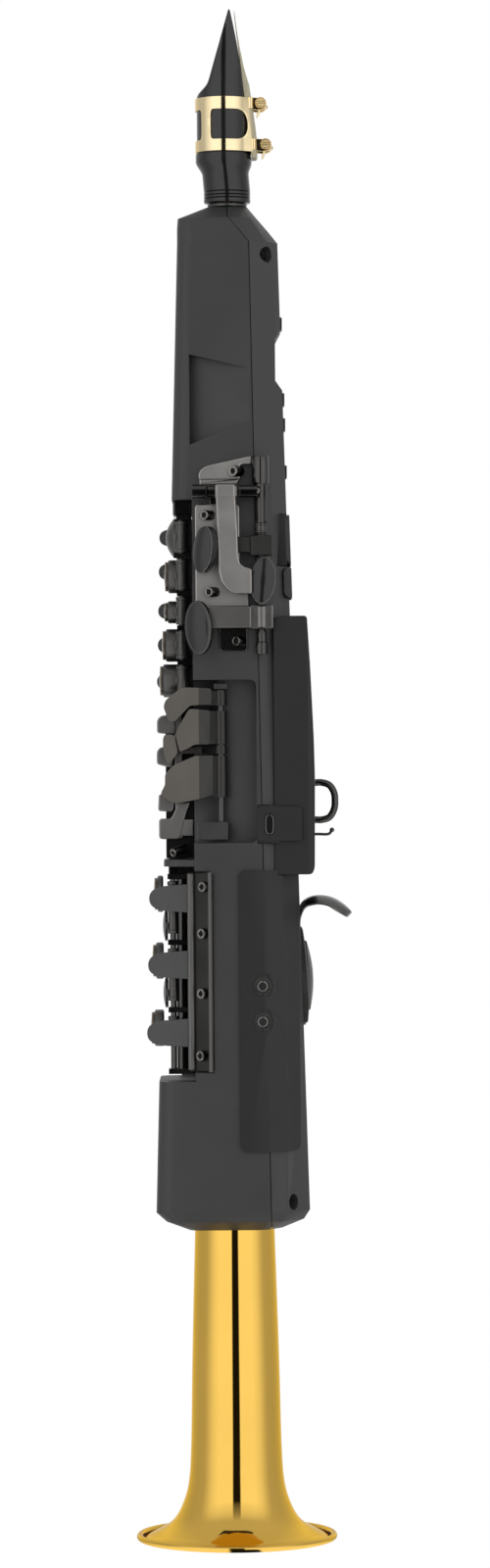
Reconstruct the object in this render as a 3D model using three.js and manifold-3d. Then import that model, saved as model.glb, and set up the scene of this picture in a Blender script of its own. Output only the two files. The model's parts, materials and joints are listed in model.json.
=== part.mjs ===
// A digital wind controller of soprano length, standing on its bell.
// Millimetres, +Z up. The front, where the fingers play, is -X, and the player's left side is -Y.
// Places are measured from the bell's axis; the whole instrument is then moved so that the middle
// of its box stands on the origin.
import * as THREE from 'three';
import { mergeVertices } from 'three/addons/utils/BufferGeometryUtils.js';
import Module from 'manifold-3d';

const wasm = await Module();
wasm.setup();

// Clearances and counts shared by all pieces.
const fit = { gap: 0.3, runningGap: 0.3, overrun: 2, far: 80, weld: 0.0005 };
const facets = { curve: 3, socket: 6, small: 10, medium: 14, round: 22, bell: 30 };
const halfShare = 0.5;
const seamShare = 0.65;
const placing = { boxMiddle: 4 };

// The casing: a tapered body, flat sided, with a rounded front and a bevelled back.
const body = {
  top: 609.3, shoulderDrop: 17.3, seamDrop: 5.3, cavityDrop: 3.3,
  bottom: 143, footRise: 8.5, floorRise: 7,
  frontTop: 22.9, frontFoot: 35.4, backTop: 22.8, backFoot: 34.4, halfTop: 23, halfFoot: 30,
  seamTop: 9.7, seamFoot: 16.7, seamBottom: 17,
  ridgeTop: 17.4, ridgeFoot: 23.8, ridgeDrop: 3.2, panelHalf: 11,
  cornerRadius: 7, wall: 2.4, tongue: 1.6,
};
body.shoulder = body.top - body.shoulderDrop;
body.seamCap = body.top - body.seamDrop;
body.cavityTop = body.top - body.cavityDrop;
body.foot = body.bottom + body.footRise;
body.floorTop = body.bottom + body.floorRise;
// Rows of the rounded ends: share of the end's height, then of the front, back and half width.
const capShares = [[0.35, 1, 0.79, 0.96], [0.65, 0.985, 0.6, 0.86], [1, 0.39, 0.4, 0.4]];
const footShares = [[1, 0.58, 0.63, 0.69], [0.5, 0.87, 0.92, 0.93]];
const growShares = { ridge: 0.7, panel: 0.4 };

// Hollows in the casing.
const stack = { floor: -17, leftLow: 311.5, leftHigh: 475, rightLow: 211, rightHigh: 308.5 };
const chamfer = { low: 215, high: 306.5, frontX: -17.3, frontY: -20, backX: -8.7, backY: -28.6 };
const tableBay = {
  low: 319, high: 393, right: 11.5, floor: -18, deepRight: -6, deepFloor: -9, cornerRadius: 3,
};
const sidePocket = {
  left: -17.8, right: 9.6, depth: 7,
  topLeft: 540.8, topRight: 534.4, lowLeft: 499.7, lowRight: 510.8,
};

// The neck stands in the casing's top: a ring on the casing, a cork above it and a pipe below.
const neck = {
  ringThick: 1.6, ringRadius: 9, corkRadius: 7.7, corkTall: 28.8, stemRadius: 6, stemDrop: 13.3,
  pipeRadius: 2.6, pipeDrop: 53.3, boreRadius: 1.5, canRadius: 6, canTall: 8,
};
neck.ringLow = body.top + fit.gap;
neck.ringHigh = neck.ringLow + neck.ringThick;
neck.corkTop = neck.ringHigh + neck.corkTall;
neck.stemLow = body.top - neck.stemDrop;
neck.pipeLow = body.top - neck.pipeDrop;
neck.canHigh = neck.pipeLow + neck.canTall;

// The mouthpiece stands on the neck's ring. Its heights are rises above its own lower end.
const mouthpiece = {
  low: neck.ringHigh + fit.gap, shankRadius: 10.6, shankTopRadius: 11.2, collarLowRadius: 11.9,
  radius: 12.3, beakRadius: 11.9, offset: -1.4, boreRadius: 8, grooveDepth: 0.5,
  beakLowX: -9.9, beakTipX: -0.2, beakHalf: 12.5, tipHalf: 8, tableLowX: 10.9, tableTipX: 1.9,
  roof: 2.4, windowHalf: 6.5, windowDrop: 3,
};
const mouthRises = {
  grooveLow: 2.7, grooveHigh: 3.9, collarLow: 16.5, shankTop: 17.5, collarHigh: 20.5, bandLow: 23.1,
  tableLow: 19.8, windowLow: 43.5, boreTop: 48.5, bandHigh: 47.8, beakLow: 50.6, tip: 88.5,
};
for (const [name, rise] of Object.entries(mouthRises)) mouthpiece[name] = mouthpiece.low + rise;
mouthpiece.windowTop = mouthpiece.tip - mouthpiece.windowDrop;

// The ligature holds the reed. Its windows are measured in from its own edges.
const ligature = {
  low: mouthpiece.bandLow, high: mouthpiece.bandHigh, inside: 0.35, outside: 0.95, pocketHalf: 7,
  windowInset: [5.3, 5.6], windowLeft: -7.3, windowRight: 9.4, windowRadius: 5,
  frontInset: [5.3, 5.6], frontRight: -10.9,
  lugInner: 2.6, lugOuter: 5.2, lugRadius: 2.6, lugDepth: 6,
  screwX: [15.6, 17.85], screwInset: [3.6, 2.3], screwRadius: 1.2,
  headRadius: 2.4, headDepth: 1.8, slotWidth: 0.7, slotDepth: 0.7,
  thumbRadius: 3.4, thumbDepth: 7.2, thumbFlat: 1.6, collarDepth: 2.8, collarRadius: 1.9,
};
// Two heights inside a piece's ends, each by its own inset.
function insetHeights({ low, high }, [atLow, atHigh]) {
  return [low + atLow, high - atHigh];
}
[ligature.windowLow, ligature.windowHigh] = insetHeights(ligature, ligature.windowInset);
[ligature.frontLow, ligature.frontHigh] = insetHeights(ligature, ligature.frontInset);
ligature.screwZ = insetHeights(ligature, ligature.screwInset).reverse();
const reed = {
  heelDrop: 2.9, vamp: mouthpiece.bandHigh, tipDrop: 0.6, heelX: 14, vampX: 11.2, tipX: 2.75,
  heelHalf: 6.4, tipHalf: 7.7,
};
reed.heel = ligature.low - reed.heelDrop;
reed.tip = mouthpiece.tip - reed.tipDrop;

// The bell, turned from sheet, with a rolled bead at its rim.
const bell = {
  radius: 18.25, rimRadius: 45.9, flareTop: 142, top: 156, wall: 0.9, beadRadius: 1.5,
  holeGap: 0.5, lipHeight: 2.1, collarLow: 150.3, collarHigh: 156, collarRadius: 20.3,
};
const flareHeightShares = [1, 0.6, 0.31, 0.185, 0.11, 0.062, 0.034, 0.022];
const flareWidthShares = [0, 0.062, 0.096, 0.143, 0.262, 0.42, 0.64, 0.84];

// The back: battery and socket housing, control strip, thumb pieces.
const housing = {
  left: 19.6, low: 304.5, topLeft: 420.2, top: 421.8, topInner: 22.5, topOuter: 34.8,
  upperX: 36.1, upperZ: 399.4, middleX: 37.5, middleZ: 368, widestX: 38, widestZ: 349,
  lowX: 37.6, lowZ: 307.3, cornerX: 36.4, half: 26.4, edgeRadius: 3,
  tabLeft: 12.2, tabLow: 319, tabHigh: 336, tabHalf: 28.3, tabInner: 25.4, tabRight: 22,
  wellLow: 352.4, wellHigh: 402.8, wellHalf: 14.8, wellInner: 18.8, trayWall: 1.6,
};
const cover = { low: 350.6, high: 405.4, half: 17, inner: 33.8 };
const cell = { radius: 7.05, low: 352.8, high: 402.2, capRadius: 2.6, capRise: 0.8, overlap: 0.05 };
const usbPort = { x: 17.2, z: 327.3, wide: 3.8, tall: 8.8, depth: 5, wall: 0.5, recess: 0.3 };
const strapRing = {
  wire: 1.55, root: 36.2, high: 346.6, low: 329.5, reach: 47.4, bend: 41, sideShare: 0.8,
  cornerShare: 0.3,
};
const cordHook = { wire: 0.65, root: 36.4, z: 322.5, reach: 44.4, tipX: 45.9, tipZ: 324.4, ball: 1.1 };
const controls = {
  low: 474, high: 568, half: 10.4, inner: 17.4, buttonZ: [556, 521.4, 509.9, 488.3],
  buttonTall: 6, buttonHalf: 5.5, buttonRise: 0.9, travel: 0.6, buttonDepth: 2.4, cornerRadius: 1.5,
};
const dip = { high: 552.4, flatHigh: 548.1, flatLow: 529.2, low: 525, depth: 2.6 };
const octave = {
  low: 445, high: 468.5, half: 15, rise: 1.3, thick: 4.4, bayTop: 3.6, bayFoot: 5.2, edgeRadius: 7,
};
const thumbRest = { low: 430.2, high: 444.3, half: 16, rise: 1.4, edgeRadius: 3 };
const hookSeat = { low: 226, high: 302, half: 11, lowX: 31.9, highX: 28.2 };
const hook = { half: 9.5, thick: 1.6, plateLow: 235.5, plateHigh: 282, tipRadius: 7 };
// The hook's middle line past its plate: places towards the back and up.
const hookCurve = [
  [30.6, 286], [31.6, 290], [34.6, 292.8], [39.6, 293.8], [45, 293], [50, 290.4], [54.4, 286.4],
];
const rocker = { z: 257.7, tall: 15.6, half: 9.4, gap: 0.95, rim: 1.5, dome: 3.1 };

// The lower side panel and its sockets.
const sidePanel = { left: 3.2, right: 30.4, low: 179.2, high: 306.6, rise: 1.6, cornerRadius: 3 };
const jack = {
  x: 13.5, z: [254.1, 238], radius: 4, boreRadius: 1.8, length: 15, depth: 13, proud: 0.4,
};
const shellScrew = {
  x: [18.4, 26.2], y: [-19.2, -21.6], z: [586.3, 155.8], aim: 54, wellRadius: 3.75, wellDepth: 6.5,
  bossRadius: 5.4, bossDepth: 9, headRadius: 3.2, headDepth: 2, shaftRadius: 1.2, shaftDepth: 8,
  holeRadius: 1.5, socketRadius: 1.3, socketDepth: 1,
};

// The left hand's palm keys on the player's side.
const palm = {
  plateFront: -27.3, plateBack: -22, plateLow: 406, plateHigh: 472, left: -15.6, right: 8,
  middleLow: 424.3, middleHigh: 439, wingLeft: -14, wingLeftTop: 491, wingTop: 494.3, wingRight: 5,
  wingLow: 482, neckLeft: -5, screwX: [1.6, -11.7, -9.7, 2.3], screwZ: [487.5, 467.7, 432.8, 410.6],
  screwRadius: 2.2, screwRise: 3, socketRadius: 0.9, socketDepth: 1.2, cornerRadius: 1.5,
  rodX: 14.2, rodY: -29, rodRadius: 1.5, rodLow: 404.5, rodHigh: 494, lowRadius: 2.7,
  blockLow: 481.5, blockRadius: 3.9, collarRadius: 2.5, collarHigh: 463.8, footRadius: 2.2,
  footHalf: 2, footBack: -20,
};
const palmLever = {
  pivotY: -33, pivotZ: 478, pinRadius: 1.5, barrelRadius: 3.1, left: -6.4, right: 3.5,
  tubeLeft: -17, tubeRight: 12.6, armFront: -36.5, armBack: -34.9, crossLow: 433, crossHigh: 446.3,
  crossRight: 13, armTop: 479.5, outerRadius: 11, innerRadius: 3, edgeRadius: 0.8,
  lugHalf: 2, lugLeft: -15, lugMiddle: -9.4, lugInner: 6, lugRight: 10,
  touchX: 14.4, touchZ: 438.6, touchHalfX: 5.6, touchHalfZ: 10.2, touchFront: -39.5, touchLean: -4,
};
const palmTouch = {
  aim: 35, half: 5.6, tall: 10.9, thick: 14, back: -29.5, armFront: -31, armLeft: -10,
  stop: -7.2, stopY: -31.6, barrelRadius: 3.2,
};
const palmTwo = { x: -13.2, y: -38.2, z: 451.4, lean: -8, low: 449.4, high: 458.6 };
const palmThree = { x: -14.4, y: -38.2, z: 416.8, lean: 4, low: 416.6, high: 426.2 };

// The left hand's stack keys along the front.
const leftStack = {
  z: [458.4, 440.9, 424.6, 409.4, 393.2], radius: [9, 7.5, 5, 7.5, 7.5],
  front: [-28.9, -28.9, -29.4, -30.6, -32], back: -23.6,
  pearlShare: 0.8, pearlRise: 1, rodX: -22, rodY: -13, rodRadius: 1.5,
  barrelRadius: 2.7, postThick: 2.4, postHalf: 2.2, top: 468.4, low: 382.6, armHalf: 1.6,
  armThick: 1.8, railLeft: -22.6, railFront: -10, railBack: -8.6,
};
const leftGuard = {
  z: [459.3, 443.6, 425.6, 409.9, 393.1], inner: 12.6, thick: 1.6, foot: 22, footX: -18.8,
  tip: [-32.4, -32.8, -33.2, -33.5, -34], tipRadius: 3.7, rootHalf: 5, low: 384, high: 468,
};

// The left little finger's table keys.
const table = {
  rodX: -4.6, rodY: -21.6, rodRadius: 1.5, barrelRadius: 2.8, top: 391.4, low: 320.4, endThick: 2.6,
  ridgeX: -14.6, ridgeY: -27.6, frontX: -34, frontY: -13.2, flankX: -8.2, flankY: -25, thick: 3.6,
  cornerRadius: 1.2, endHalf: 3, footLeft: -15.6, footHigh: 328.6, armInner: -19.8, armOuter: -23.4,
};
// The third key's arm passes behind the second key: a level outline and its height.
const tableArm = {
  low: 359.7, high: 362.7,
  path: [[-28.4, -14], [-27.6, -11.6], [-13, -12], [-3.4, -20.6], [-5.8, -22.8], [-13.4, -14]],
};
const comb = {
  left: -34, arm: -24.6, spine: -22.4, front: -7.6, back: -5.8, low: 320.4, high: 377.8,
  lows: [369.2, 355, 333.4, 320.4], tall: [8.6, 8.4, 7.6, 9], footLow: 322, footHigh: 330,
  backLeft: -30, backLow: 312, backThick: 1.6,
};
const tableKeyOne = [[-30.7, 381], [-29.8, 384], [-22.4, 389.8], [-8.6, 389.2], [-8.6, 381.8],
  [-18.6, 381.4], [-25.6, 374.2], [-28.2, 374.2]];
const tableKeyTwo = [[-18.9, 380], [-9.4, 379.2], [-9.4, 363.8], [-16.6, 363.8], [-20, 361.8],
  [-23.4, 360.4], [-25, 367], [-24.8, 370], [-23.4, 372.6]];
const tableKeyThree = [[-31, 367], [-30, 368.6], [-25.8, 368.2], [-24.2, 360.2], [-28.2, 355],
  [-29.4, 355.6], [-31, 361]];
const tableKeyFour = [[-30.2, 350.4], [-26.4, 354.4], [-16.4, 358.6], [-8, 358.8], [-8, 341],
  [-13, 339.4], [-22, 337.6], [-26.2, 337.2], [-31.6, 340.2], [-32.2, 341.8], [-30.2, 345.6]];
const tableBarrels = [[381.4, 388.2], [364, 379], [359.4, 363.4], [340, 358.6]];

// The right hand's stack keys and their guard.
const rightStack = {
  z: [295.2, 264.6, 233.8], front: [-35, -35.9, -36.7], back: -30.4, radius: 7.6,
  pearlShare: 0.8, pearlRise: 1, padDrop: 14.4, padRadius: 7, padFront: -33, padBack: -29.8,
  barrelUp: 6, barrelDown: 7, barrelPad: 3.6, rodX: -27, rodY: -12.5, rodRadius: 1.5,
  barrelRadius: 2.6, postThick: 2.4, postHalf: 2.4, top: 305, low: 214,
  armHalf: 1.6, armFront: -30.7, armBack: -28.8, secondX: -23.4, secondY: -16.4, secondRadius: 1.1,
  railLeft: -25.5, railFront: -9.4, railBack: -8,
};
const rightGuard = {
  low: 215.4, high: 305.8, plateThick: 1.5, finZ: [294, 263.8, 232.9],
  finTip: [-37.7, -38.4, -39.1], finTipRadius: 4.2, finRootHalf: 6.5, finThick: 1.6, finInner: -20.6,
  rootX: -19.8, endX: -8.2, screwZ: [299.2, 278, 250.7, 222.6], screwX: -11.7,
  screwRadius: 2.7, screwRise: 2.6, socketRadius: 1.2, socketDepth: 1.2,
};

// The keys on the far side, on one long rod.
const farRod = {
  x: 2, y: 34, radius: 1.5, low: 184, high: 411, barrelRadius: 2.8, postHalf: 2, postThick: 3,
  middlePosts: [232, 332],
};
const sideKeys = {
  top: 396, pitch: 25, count: 3, tall: 22, left: -22, right: -12, inner: 32.6, thick: 3, barrelHalf: 7,
  armHalf: 3, edgeRadius: 3,
};
const lowKeys = {
  top: 217, pitch: 18, count: 2, tall: 15, left: -25, right: -9, inner: 33.4, thick: 3, barrelHalf: 6,
  armHalf: 3, edgeRadius: 4,
};

// The electronics inside the casing.
const board = {
  x: 4, thick: 1.6, half: 13, low: 184, high: 250, bossRadius: 2.6, bossY: 9, bossZ: [192, 219.6],
  chipHalf: 6, chipRise: 1.2, chipLow: 226, chipHigh: 240,
};
const speaker = {
  low: 156.3, radius: 19.8, flange: 1.8, coneTop: 164, coneRadius: 17, magnetRadius: 11,
  magnetTop: 174, coneDepth: 5, coneInner: 5, coneMouth: 16,
};

// Finishes.
function finish(color, roughness, metalness) {
  return new THREE.MeshStandardMaterial({ color, roughness, metalness });
}
const finishes = {
  ebonite: finish(0x1b1b1d, 0.2, 0),
  cane: finish(0xcbb98f, 0.7, 0),
  brass: finish(0xe3c27a, 0.3, 1),
  lacquer: finish(0xd8a949, 0.15, 1),
  casing: finish(0x3c3c3e, 0.55, 0),
  housing: finish(0x2b2b2d, 0.6, 0),
  darkMetal: finish(0x5c5a57, 0.4, 0.9),
  steel: finish(0x8a8a8c, 0.35, 1),
  touch: finish(0x2a2a2b, 0.5, 0),
  board: finish(0x1f5a38, 0.6, 0),
  cell: finish(0x6f7a86, 0.4, 0.5),
};

// Small helpers for numbers.
function middle(a, b) {
  return (a + b) * halfShare;
}

function blend(from, to, share) {
  return from + (to - from) * share;
}

// A casing measure at a height, on the straight taper between the foot and the shoulder.
function taper(z, atTop, atFoot) {
  return blend(atFoot, atTop, (z - body.foot) / (body.shoulder - body.foot));
}

function halfWidth(z) {
  return taper(z, body.halfTop, body.halfFoot);
}

function backOf(z) {
  return taper(z, body.backTop, body.backFoot);
}

// The floor of the thumb hook's seat, which leans with the back.
function hookSeatX(z) {
  return blend(hookSeat.lowX, hookSeat.highX, (z - hookSeat.low) / (hookSeat.high - hookSeat.low));
}

// A closed mesh as a solid that can be joined and cut.
function solidOf(geometry) {
  const bare = geometry.index ? geometry.toNonIndexed() : geometry.clone();
  for (const name of Object.keys(bare.attributes)) {
    if (name !== 'position') bare.deleteAttribute(name);
  }
  const merged = mergeVertices(bare, fit.weld);
  const places = merged.attributes.position;
  const corners = [];
  let volume = 0;
  const [a, b, c] = [new THREE.Vector3(), new THREE.Vector3(), new THREE.Vector3()];
  for (let at = 0; at < merged.index.count; at += 3) {
    const [i, j, k] = [0, 1, 2].map((step) => merged.index.getX(at + step));
    if (i === j || j === k || k === i) continue;
    corners.push(i, j, k);
    a.fromBufferAttribute(places, i);
    b.fromBufferAttribute(places, j);
    c.fromBufferAttribute(places, k);
    volume += a.dot(b.cross(c));
  }
  const triVerts = new Uint32Array(corners);
  if (volume < 0) triVerts.reverse();
  const vertProperties = new Float32Array(places.array);
  return new wasm.Manifold(new wasm.Mesh({ numProp: 3, vertProperties, triVerts }));
}

function join(...solids) {
  return solids.reduce((whole, piece) => whole.add(piece));
}

function cut(solid, ...tools) {
  return tools.reduce((whole, tool) => whole.subtract(tool), solid);
}

function common(first, second) {
  return first.intersect(second);
}

function block(x0, x1, y0, y1, z0, z1) {
  const geometry = new THREE.BoxGeometry(x1 - x0, y1 - y0, z1 - z0);
  return solidOf(geometry.translate(middle(x0, x1), middle(y0, y1), middle(z0, z1)));
}

// A round bar from one point to another, or a cone where the second radius differs.
function bar(from, to, radius, sides, endRadius = radius) {
  const start = new THREE.Vector3(...from);
  const way = new THREE.Vector3(...to).sub(start);
  const geometry = new THREE.CylinderGeometry(endRadius, radius, way.length(), sides);
  const turn = new THREE.Quaternion();
  turn.setFromUnitVectors(new THREE.Vector3(0, 1, 0), way.clone().normalize());
  geometry.applyQuaternion(turn);
  const centre = start.addScaledVector(way, halfShare);
  return solidOf(geometry.translate(centre.x, centre.y, centre.z));
}

// A profile of [radius, height] points turned about an upright axis.
function turned(profile, sides, x = 0, y = 0) {
  const points = profile.map(([radius, height]) => new THREE.Vector2(radius, height));
  const geometry = new THREE.LatheGeometry(points, sides);
  return solidOf(geometry.rotateX(Math.PI * halfShare).translate(x, y, 0));
}

// An outline with every corner rounded by the radius, or by its own third value, or less where
// its sides are short.
function rounded(points, radius) {
  const corners = points.map(([u, v]) => new THREE.Vector2(u, v));
  const shape = new THREE.Shape();
  corners.forEach((corner, at) => {
    const before = corners[(at + corners.length - 1) % corners.length];
    const after = corners[(at + 1) % corners.length];
    const own = points[at][2] ?? radius;
    const inReach = Math.min(own, before.distanceTo(corner) * halfShare);
    const outReach = Math.min(own, after.distanceTo(corner) * halfShare);
    const from = corner.clone().lerp(before, inReach / before.distanceTo(corner));
    const to = corner.clone().lerp(after, outReach / after.distanceTo(corner));
    if (at === 0) shape.moveTo(from.x, from.y);
    else shape.lineTo(from.x, from.y);
    shape.quadraticCurveTo(corner.x, corner.y, to.x, to.y);
  });
  shape.closePath();
  return shape;
}

function ellipse(u, v, halfU, halfV, lean = 0) {
  const shape = new THREE.Shape();
  shape.absellipse(u, v, halfU, halfV, 0, Math.PI / halfShare, false, THREE.MathUtils.degToRad(lean));
  return shape;
}

// An outline carried straight along one axis. It is drawn in Y and Z, in X and Z, or in X and Y.
function slabForm(outline, axis, low, high, steps = facets.curve) {
  const plain = Array.isArray(outline);
  const shape = plain ? new THREE.Shape(outline.map(([u, v]) => new THREE.Vector2(u, v))) : outline;
  const depth = high - low;
  const geometry = new THREE.ExtrudeGeometry(shape, {
    depth, bevelEnabled: false, curveSegments: steps,
  });
  const [x, y, z] = [[1, 0, 0], [0, 1, 0], [0, 0, 1]].map((way) => new THREE.Vector3(...way));
  const frame = new THREE.Matrix4();
  if (axis === 'x') frame.makeBasis(y, z, x).setPosition(low, 0, 0);
  if (axis === 'y') frame.makeBasis(x, z, y.clone().negate()).setPosition(0, high, 0);
  if (axis === 'z') frame.setPosition(0, 0, low);
  return geometry.applyMatrix4(frame);
}

function slab(...sizes) {
  return solidOf(slabForm(...sizes));
}

// A ball stretched to its own half size along each axis.
function ball(x, y, z, halfX, halfY, halfZ, sides) {
  const geometry = new THREE.SphereGeometry(1, sides, Math.ceil(sides * halfShare));
  return solidOf(geometry.scale(halfX, halfY, halfZ).translate(x, y, z));
}

// A round wire along a smooth curve through the points.
function wire(points, radius, sides, steps) {
  const path = new THREE.CatmullRomCurve3(points.map((point) => new THREE.Vector3(...point)));
  const section = new THREE.Shape();
  section.absarc(0, 0, radius, 0, Math.PI / halfShare);
  const geometry = new THREE.ExtrudeGeometry(section, {
    steps, extrudePath: path, bevelEnabled: false, curveSegments: sides,
  });
  return solidOf(geometry);
}

// A skin over level rings of equal point counts, closed at both ends.
function loft(rings) {
  const count = rings[0].length;
  const places = rings.flat().flat();
  const faces = [];
  for (let row = 0; row + 1 < rings.length; row += 1) {
    for (let at = 0; at < count; at += 1) {
      const next = (at + 1) % count;
      const [low, high] = [row * count, (row + 1) * count];
      faces.push(low + at, low + next, high + next, low + at, high + next, high + at);
    }
  }
  [[0, true], [rings.length - 1, false]].forEach(([row, under]) => {
    const outline = rings[row].map(([x, y]) => new THREE.Vector2(x, y));
    THREE.ShapeUtils.triangulateShape(outline, []).forEach(([a, b, c]) => {
      const start = row * count;
      if (under) faces.push(start + c, start + b, start + a);
      else faces.push(start + a, start + b, start + c);
    });
  });
  const geometry = new THREE.BufferGeometry();
  geometry.setAttribute('position', new THREE.Float32BufferAttribute(places, 3));
  geometry.setIndex(faces);
  return solidOf(geometry);
}

const instrument = new THREE.Group();
instrument.position.x = -placing.boxMiddle;

// Puts a solid in the instrument, turned about Y by a lean and set at a place where one is given.
function add(name, solid, material, place = [0, 0, 0], lean = 0) {
  const { vertProperties, triVerts } = solid.getMesh();
  const geometry = new THREE.BufferGeometry();
  geometry.setAttribute('position', new THREE.BufferAttribute(vertProperties, 3));
  geometry.setIndex(new THREE.BufferAttribute(triVerts, 1));
  geometry.computeVertexNormals();
  const mesh = new THREE.Mesh(geometry, material);
  mesh.name = name;
  mesh.position.set(...place);
  mesh.rotation.y = lean;
  instrument.add(mesh);
}

// The casing's level section, anticlockwise seen from above, grown outwards by a margin.
function casingRing(z, taperZ, grow, frontShare, backShare, widthShare) {
  const front = -(taper(taperZ, body.frontTop, body.frontFoot) * frontShare + grow);
  const back = taper(taperZ, body.backTop, body.backFoot) * backShare + grow;
  const half = halfWidth(taperZ) * widthShare + grow;
  const seam = taper(taperZ, body.seamTop, body.seamFoot) * backShare;
  const ridge = taper(taperZ, body.ridgeTop, body.ridgeFoot) * backShare + grow * growShares.ridge;
  const ridgeY = half - body.ridgeDrop * widthShare;
  const panel = body.panelHalf * widthShare + grow * growShares.panel;
  const radius = body.cornerRadius * widthShare;
  const near = [[back, -panel], [back, panel], [ridge, ridgeY], [seam, half]];
  const arc = [];
  for (let step = 0; step <= facets.curve; step += 1) {
    const angle = (Math.PI * halfShare * step) / facets.curve;
    const out = [Math.sin(angle) * radius, Math.cos(angle) * radius];
    arc.push([front + radius - out[0], half - radius + out[1]]);
  }
  const farArc = arc.map(([x, y]) => [x, -y]).reverse();
  const points = [...near, ...arc, ...farArc, [seam, -half], [ridge, -ridgeY]];
  return points.map(([x, y]) => [x, y, z]);
}

// The casing's outer form, grown by a margin.
function casing(grow) {
  const foot = footShares.map(([share, ...rest]) => [blend(body.foot, body.bottom, share), ...rest]);
  const cap = capShares.map(([share, ...rest]) => [blend(body.shoulder, body.top, share), ...rest]);
  const rows = [...foot, [body.foot, 1, 1, 1], [body.shoulder, 1, 1, 1], ...cap];
  const last = rows.length - 1;
  return loft(rows.map(([z, ...shares], at) => {
    const lift = at === last ? grow : at === 0 ? -grow : 0;
    const taperZ = Math.min(Math.max(z, body.foot), body.shoulder);
    return casingRing(z + lift, taperZ, grow, ...shares);
  }));
}

// The casing's inner hollow, a wall inside the outer form.
function hollow() {
  const floorShares = footShares[1].slice(1);
  const rows = [[body.floorTop, ...floorShares], [body.foot + body.wall, 1, 1, 1],
    [body.shoulder - body.wall, 1, 1, 1]];
  for (const [share, ...rest] of capShares) {
    rows.push([blend(body.shoulder, body.cavityTop, share) - body.wall * share, ...rest]);
  }
  return loft(rows.map(([z, ...shares]) => {
    const taperZ = Math.min(z, body.shoulder);
    return casingRing(z, taperZ, -body.wall, ...shares);
  }));
}

// Everything that presses into the casing from outside, grown by a margin.
function recesses(grow) {
  const leftWell = block(-fit.far, stack.floor + grow, -fit.far, fit.far,
    stack.leftLow - grow, stack.leftHigh + grow);
  const rightWell = block(-fit.far, stack.floor + grow, -fit.far, fit.far,
    stack.rightLow - grow, stack.rightHigh + grow);
  const slope = (chamfer.frontY - chamfer.backY) / (chamfer.backX - chamfer.frontX);
  const reach = fit.far;
  const shift = grow * Math.SQRT2;
  const corner = slab([
    [chamfer.frontX - reach, chamfer.frontY + reach * slope + shift],
    [chamfer.frontX - reach, chamfer.frontY - reach * slope - reach],
    [chamfer.backX + reach, chamfer.backY - reach * slope - reach],
    [chamfer.backX + reach, chamfer.backY - reach * slope + shift],
  ], 'z', chamfer.low - grow, chamfer.high + grow);
  const bay = slab(rounded([
    [stack.floor - fit.overrun, tableBay.low - grow], [tableBay.right + grow, tableBay.low - grow],
    [tableBay.right + grow, tableBay.high + grow], [stack.floor - fit.overrun, tableBay.high + grow],
  ], tableBay.cornerRadius), 'y', -fit.far, tableBay.floor + grow);
  const deepBay = block(stack.floor - fit.overrun, tableBay.deepRight + grow,
    -fit.far, tableBay.deepFloor + grow, tableBay.low - grow, tableBay.high + grow);
  const p = sidePocket;
  const pocketSide = slab([
    [p.left - grow, p.topLeft + grow], [p.left - grow, p.lowLeft - grow],
    [p.right + grow, p.lowRight - grow], [p.right + grow, p.topRight + grow],
  ], 'y', -fit.far, fit.far);
  const pocketHalf = halfWidth(middle(p.topLeft, p.lowLeft));
  const wedges = [1, -1].map((side) => slab([
    [p.left - grow, side * fit.far], [p.left - grow, side * (pocketHalf - p.depth - grow)],
    [p.right + grow, side * (pocketHalf - grow)], [p.right + grow, side * fit.far],
  ], 'z', p.lowLeft - fit.far, p.topLeft + fit.far));
  const pockets = wedges.map((wedge) => common(pocketSide, wedge));
  const strip = block(controls.inner - grow, fit.far, -controls.half - fit.gap - grow,
    controls.half + fit.gap + grow, controls.low - fit.gap - grow, controls.high + fit.gap + grow);
  const octaveBack = backOf(octave.low);
  const octaveBay = slab([
    [octaveBack - octave.bayTop - grow, octave.high + fit.gap + grow],
    [octaveBack - octave.bayFoot - grow, octave.low - fit.gap - grow],
    [fit.far, octave.low - fit.gap - grow], [fit.far, octave.high + fit.gap + grow],
  ], 'y', -fit.far, fit.far);
  const dipX = backOf(dip.flatHigh) - dip.depth - grow;
  const backDip = slab([
    [dipX, dip.flatLow], [dipX, dip.flatHigh], [backOf(dip.high) - grow, dip.high],
    [fit.far, dip.high], [fit.far, dip.low], [backOf(dip.low) - grow, dip.low],
  ], 'y', -fit.far, fit.far);
  const seat = slab([
    [hookSeatX(hookSeat.low - grow) - grow, hookSeat.low - grow],
    [hookSeatX(hookSeat.high + grow) - grow, hookSeat.high + grow],
    [fit.far, hookSeat.high + grow], [fit.far, hookSeat.low - grow],
  ], 'y', -hookSeat.half - grow, hookSeat.half + grow);
  return join(leftWell, rightWell, corner, bay, deepBay, ...pockets, strip, octaveBay, backDip, seat);
}

// A hole on the casing's side for each socket, from outside to its inner end.
function jackHoles(radius) {
  const y = -halfWidth(jack.z[0]);
  return jack.z.map((z) => bar([jack.x, y - fit.overrun - sidePanel.rise, z],
    [jack.x, y + jack.length + fit.overrun, z], radius, facets.medium));
}

// The way a shell screw points, from outside inwards.
const screwAim = THREE.MathUtils.degToRad(shellScrew.aim);
const screwIn = [-Math.sin(screwAim), Math.cos(screwAim), 0];

function screwBar(at, from, to, radius, sides) {
  const start = [shellScrew.x[at], shellScrew.y[at], shellScrew.z[at]];
  const place = (depth) => start.map((value, axis) => value + screwIn[axis] * depth);
  return bar(place(from), place(to), radius, sides);
}

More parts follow.
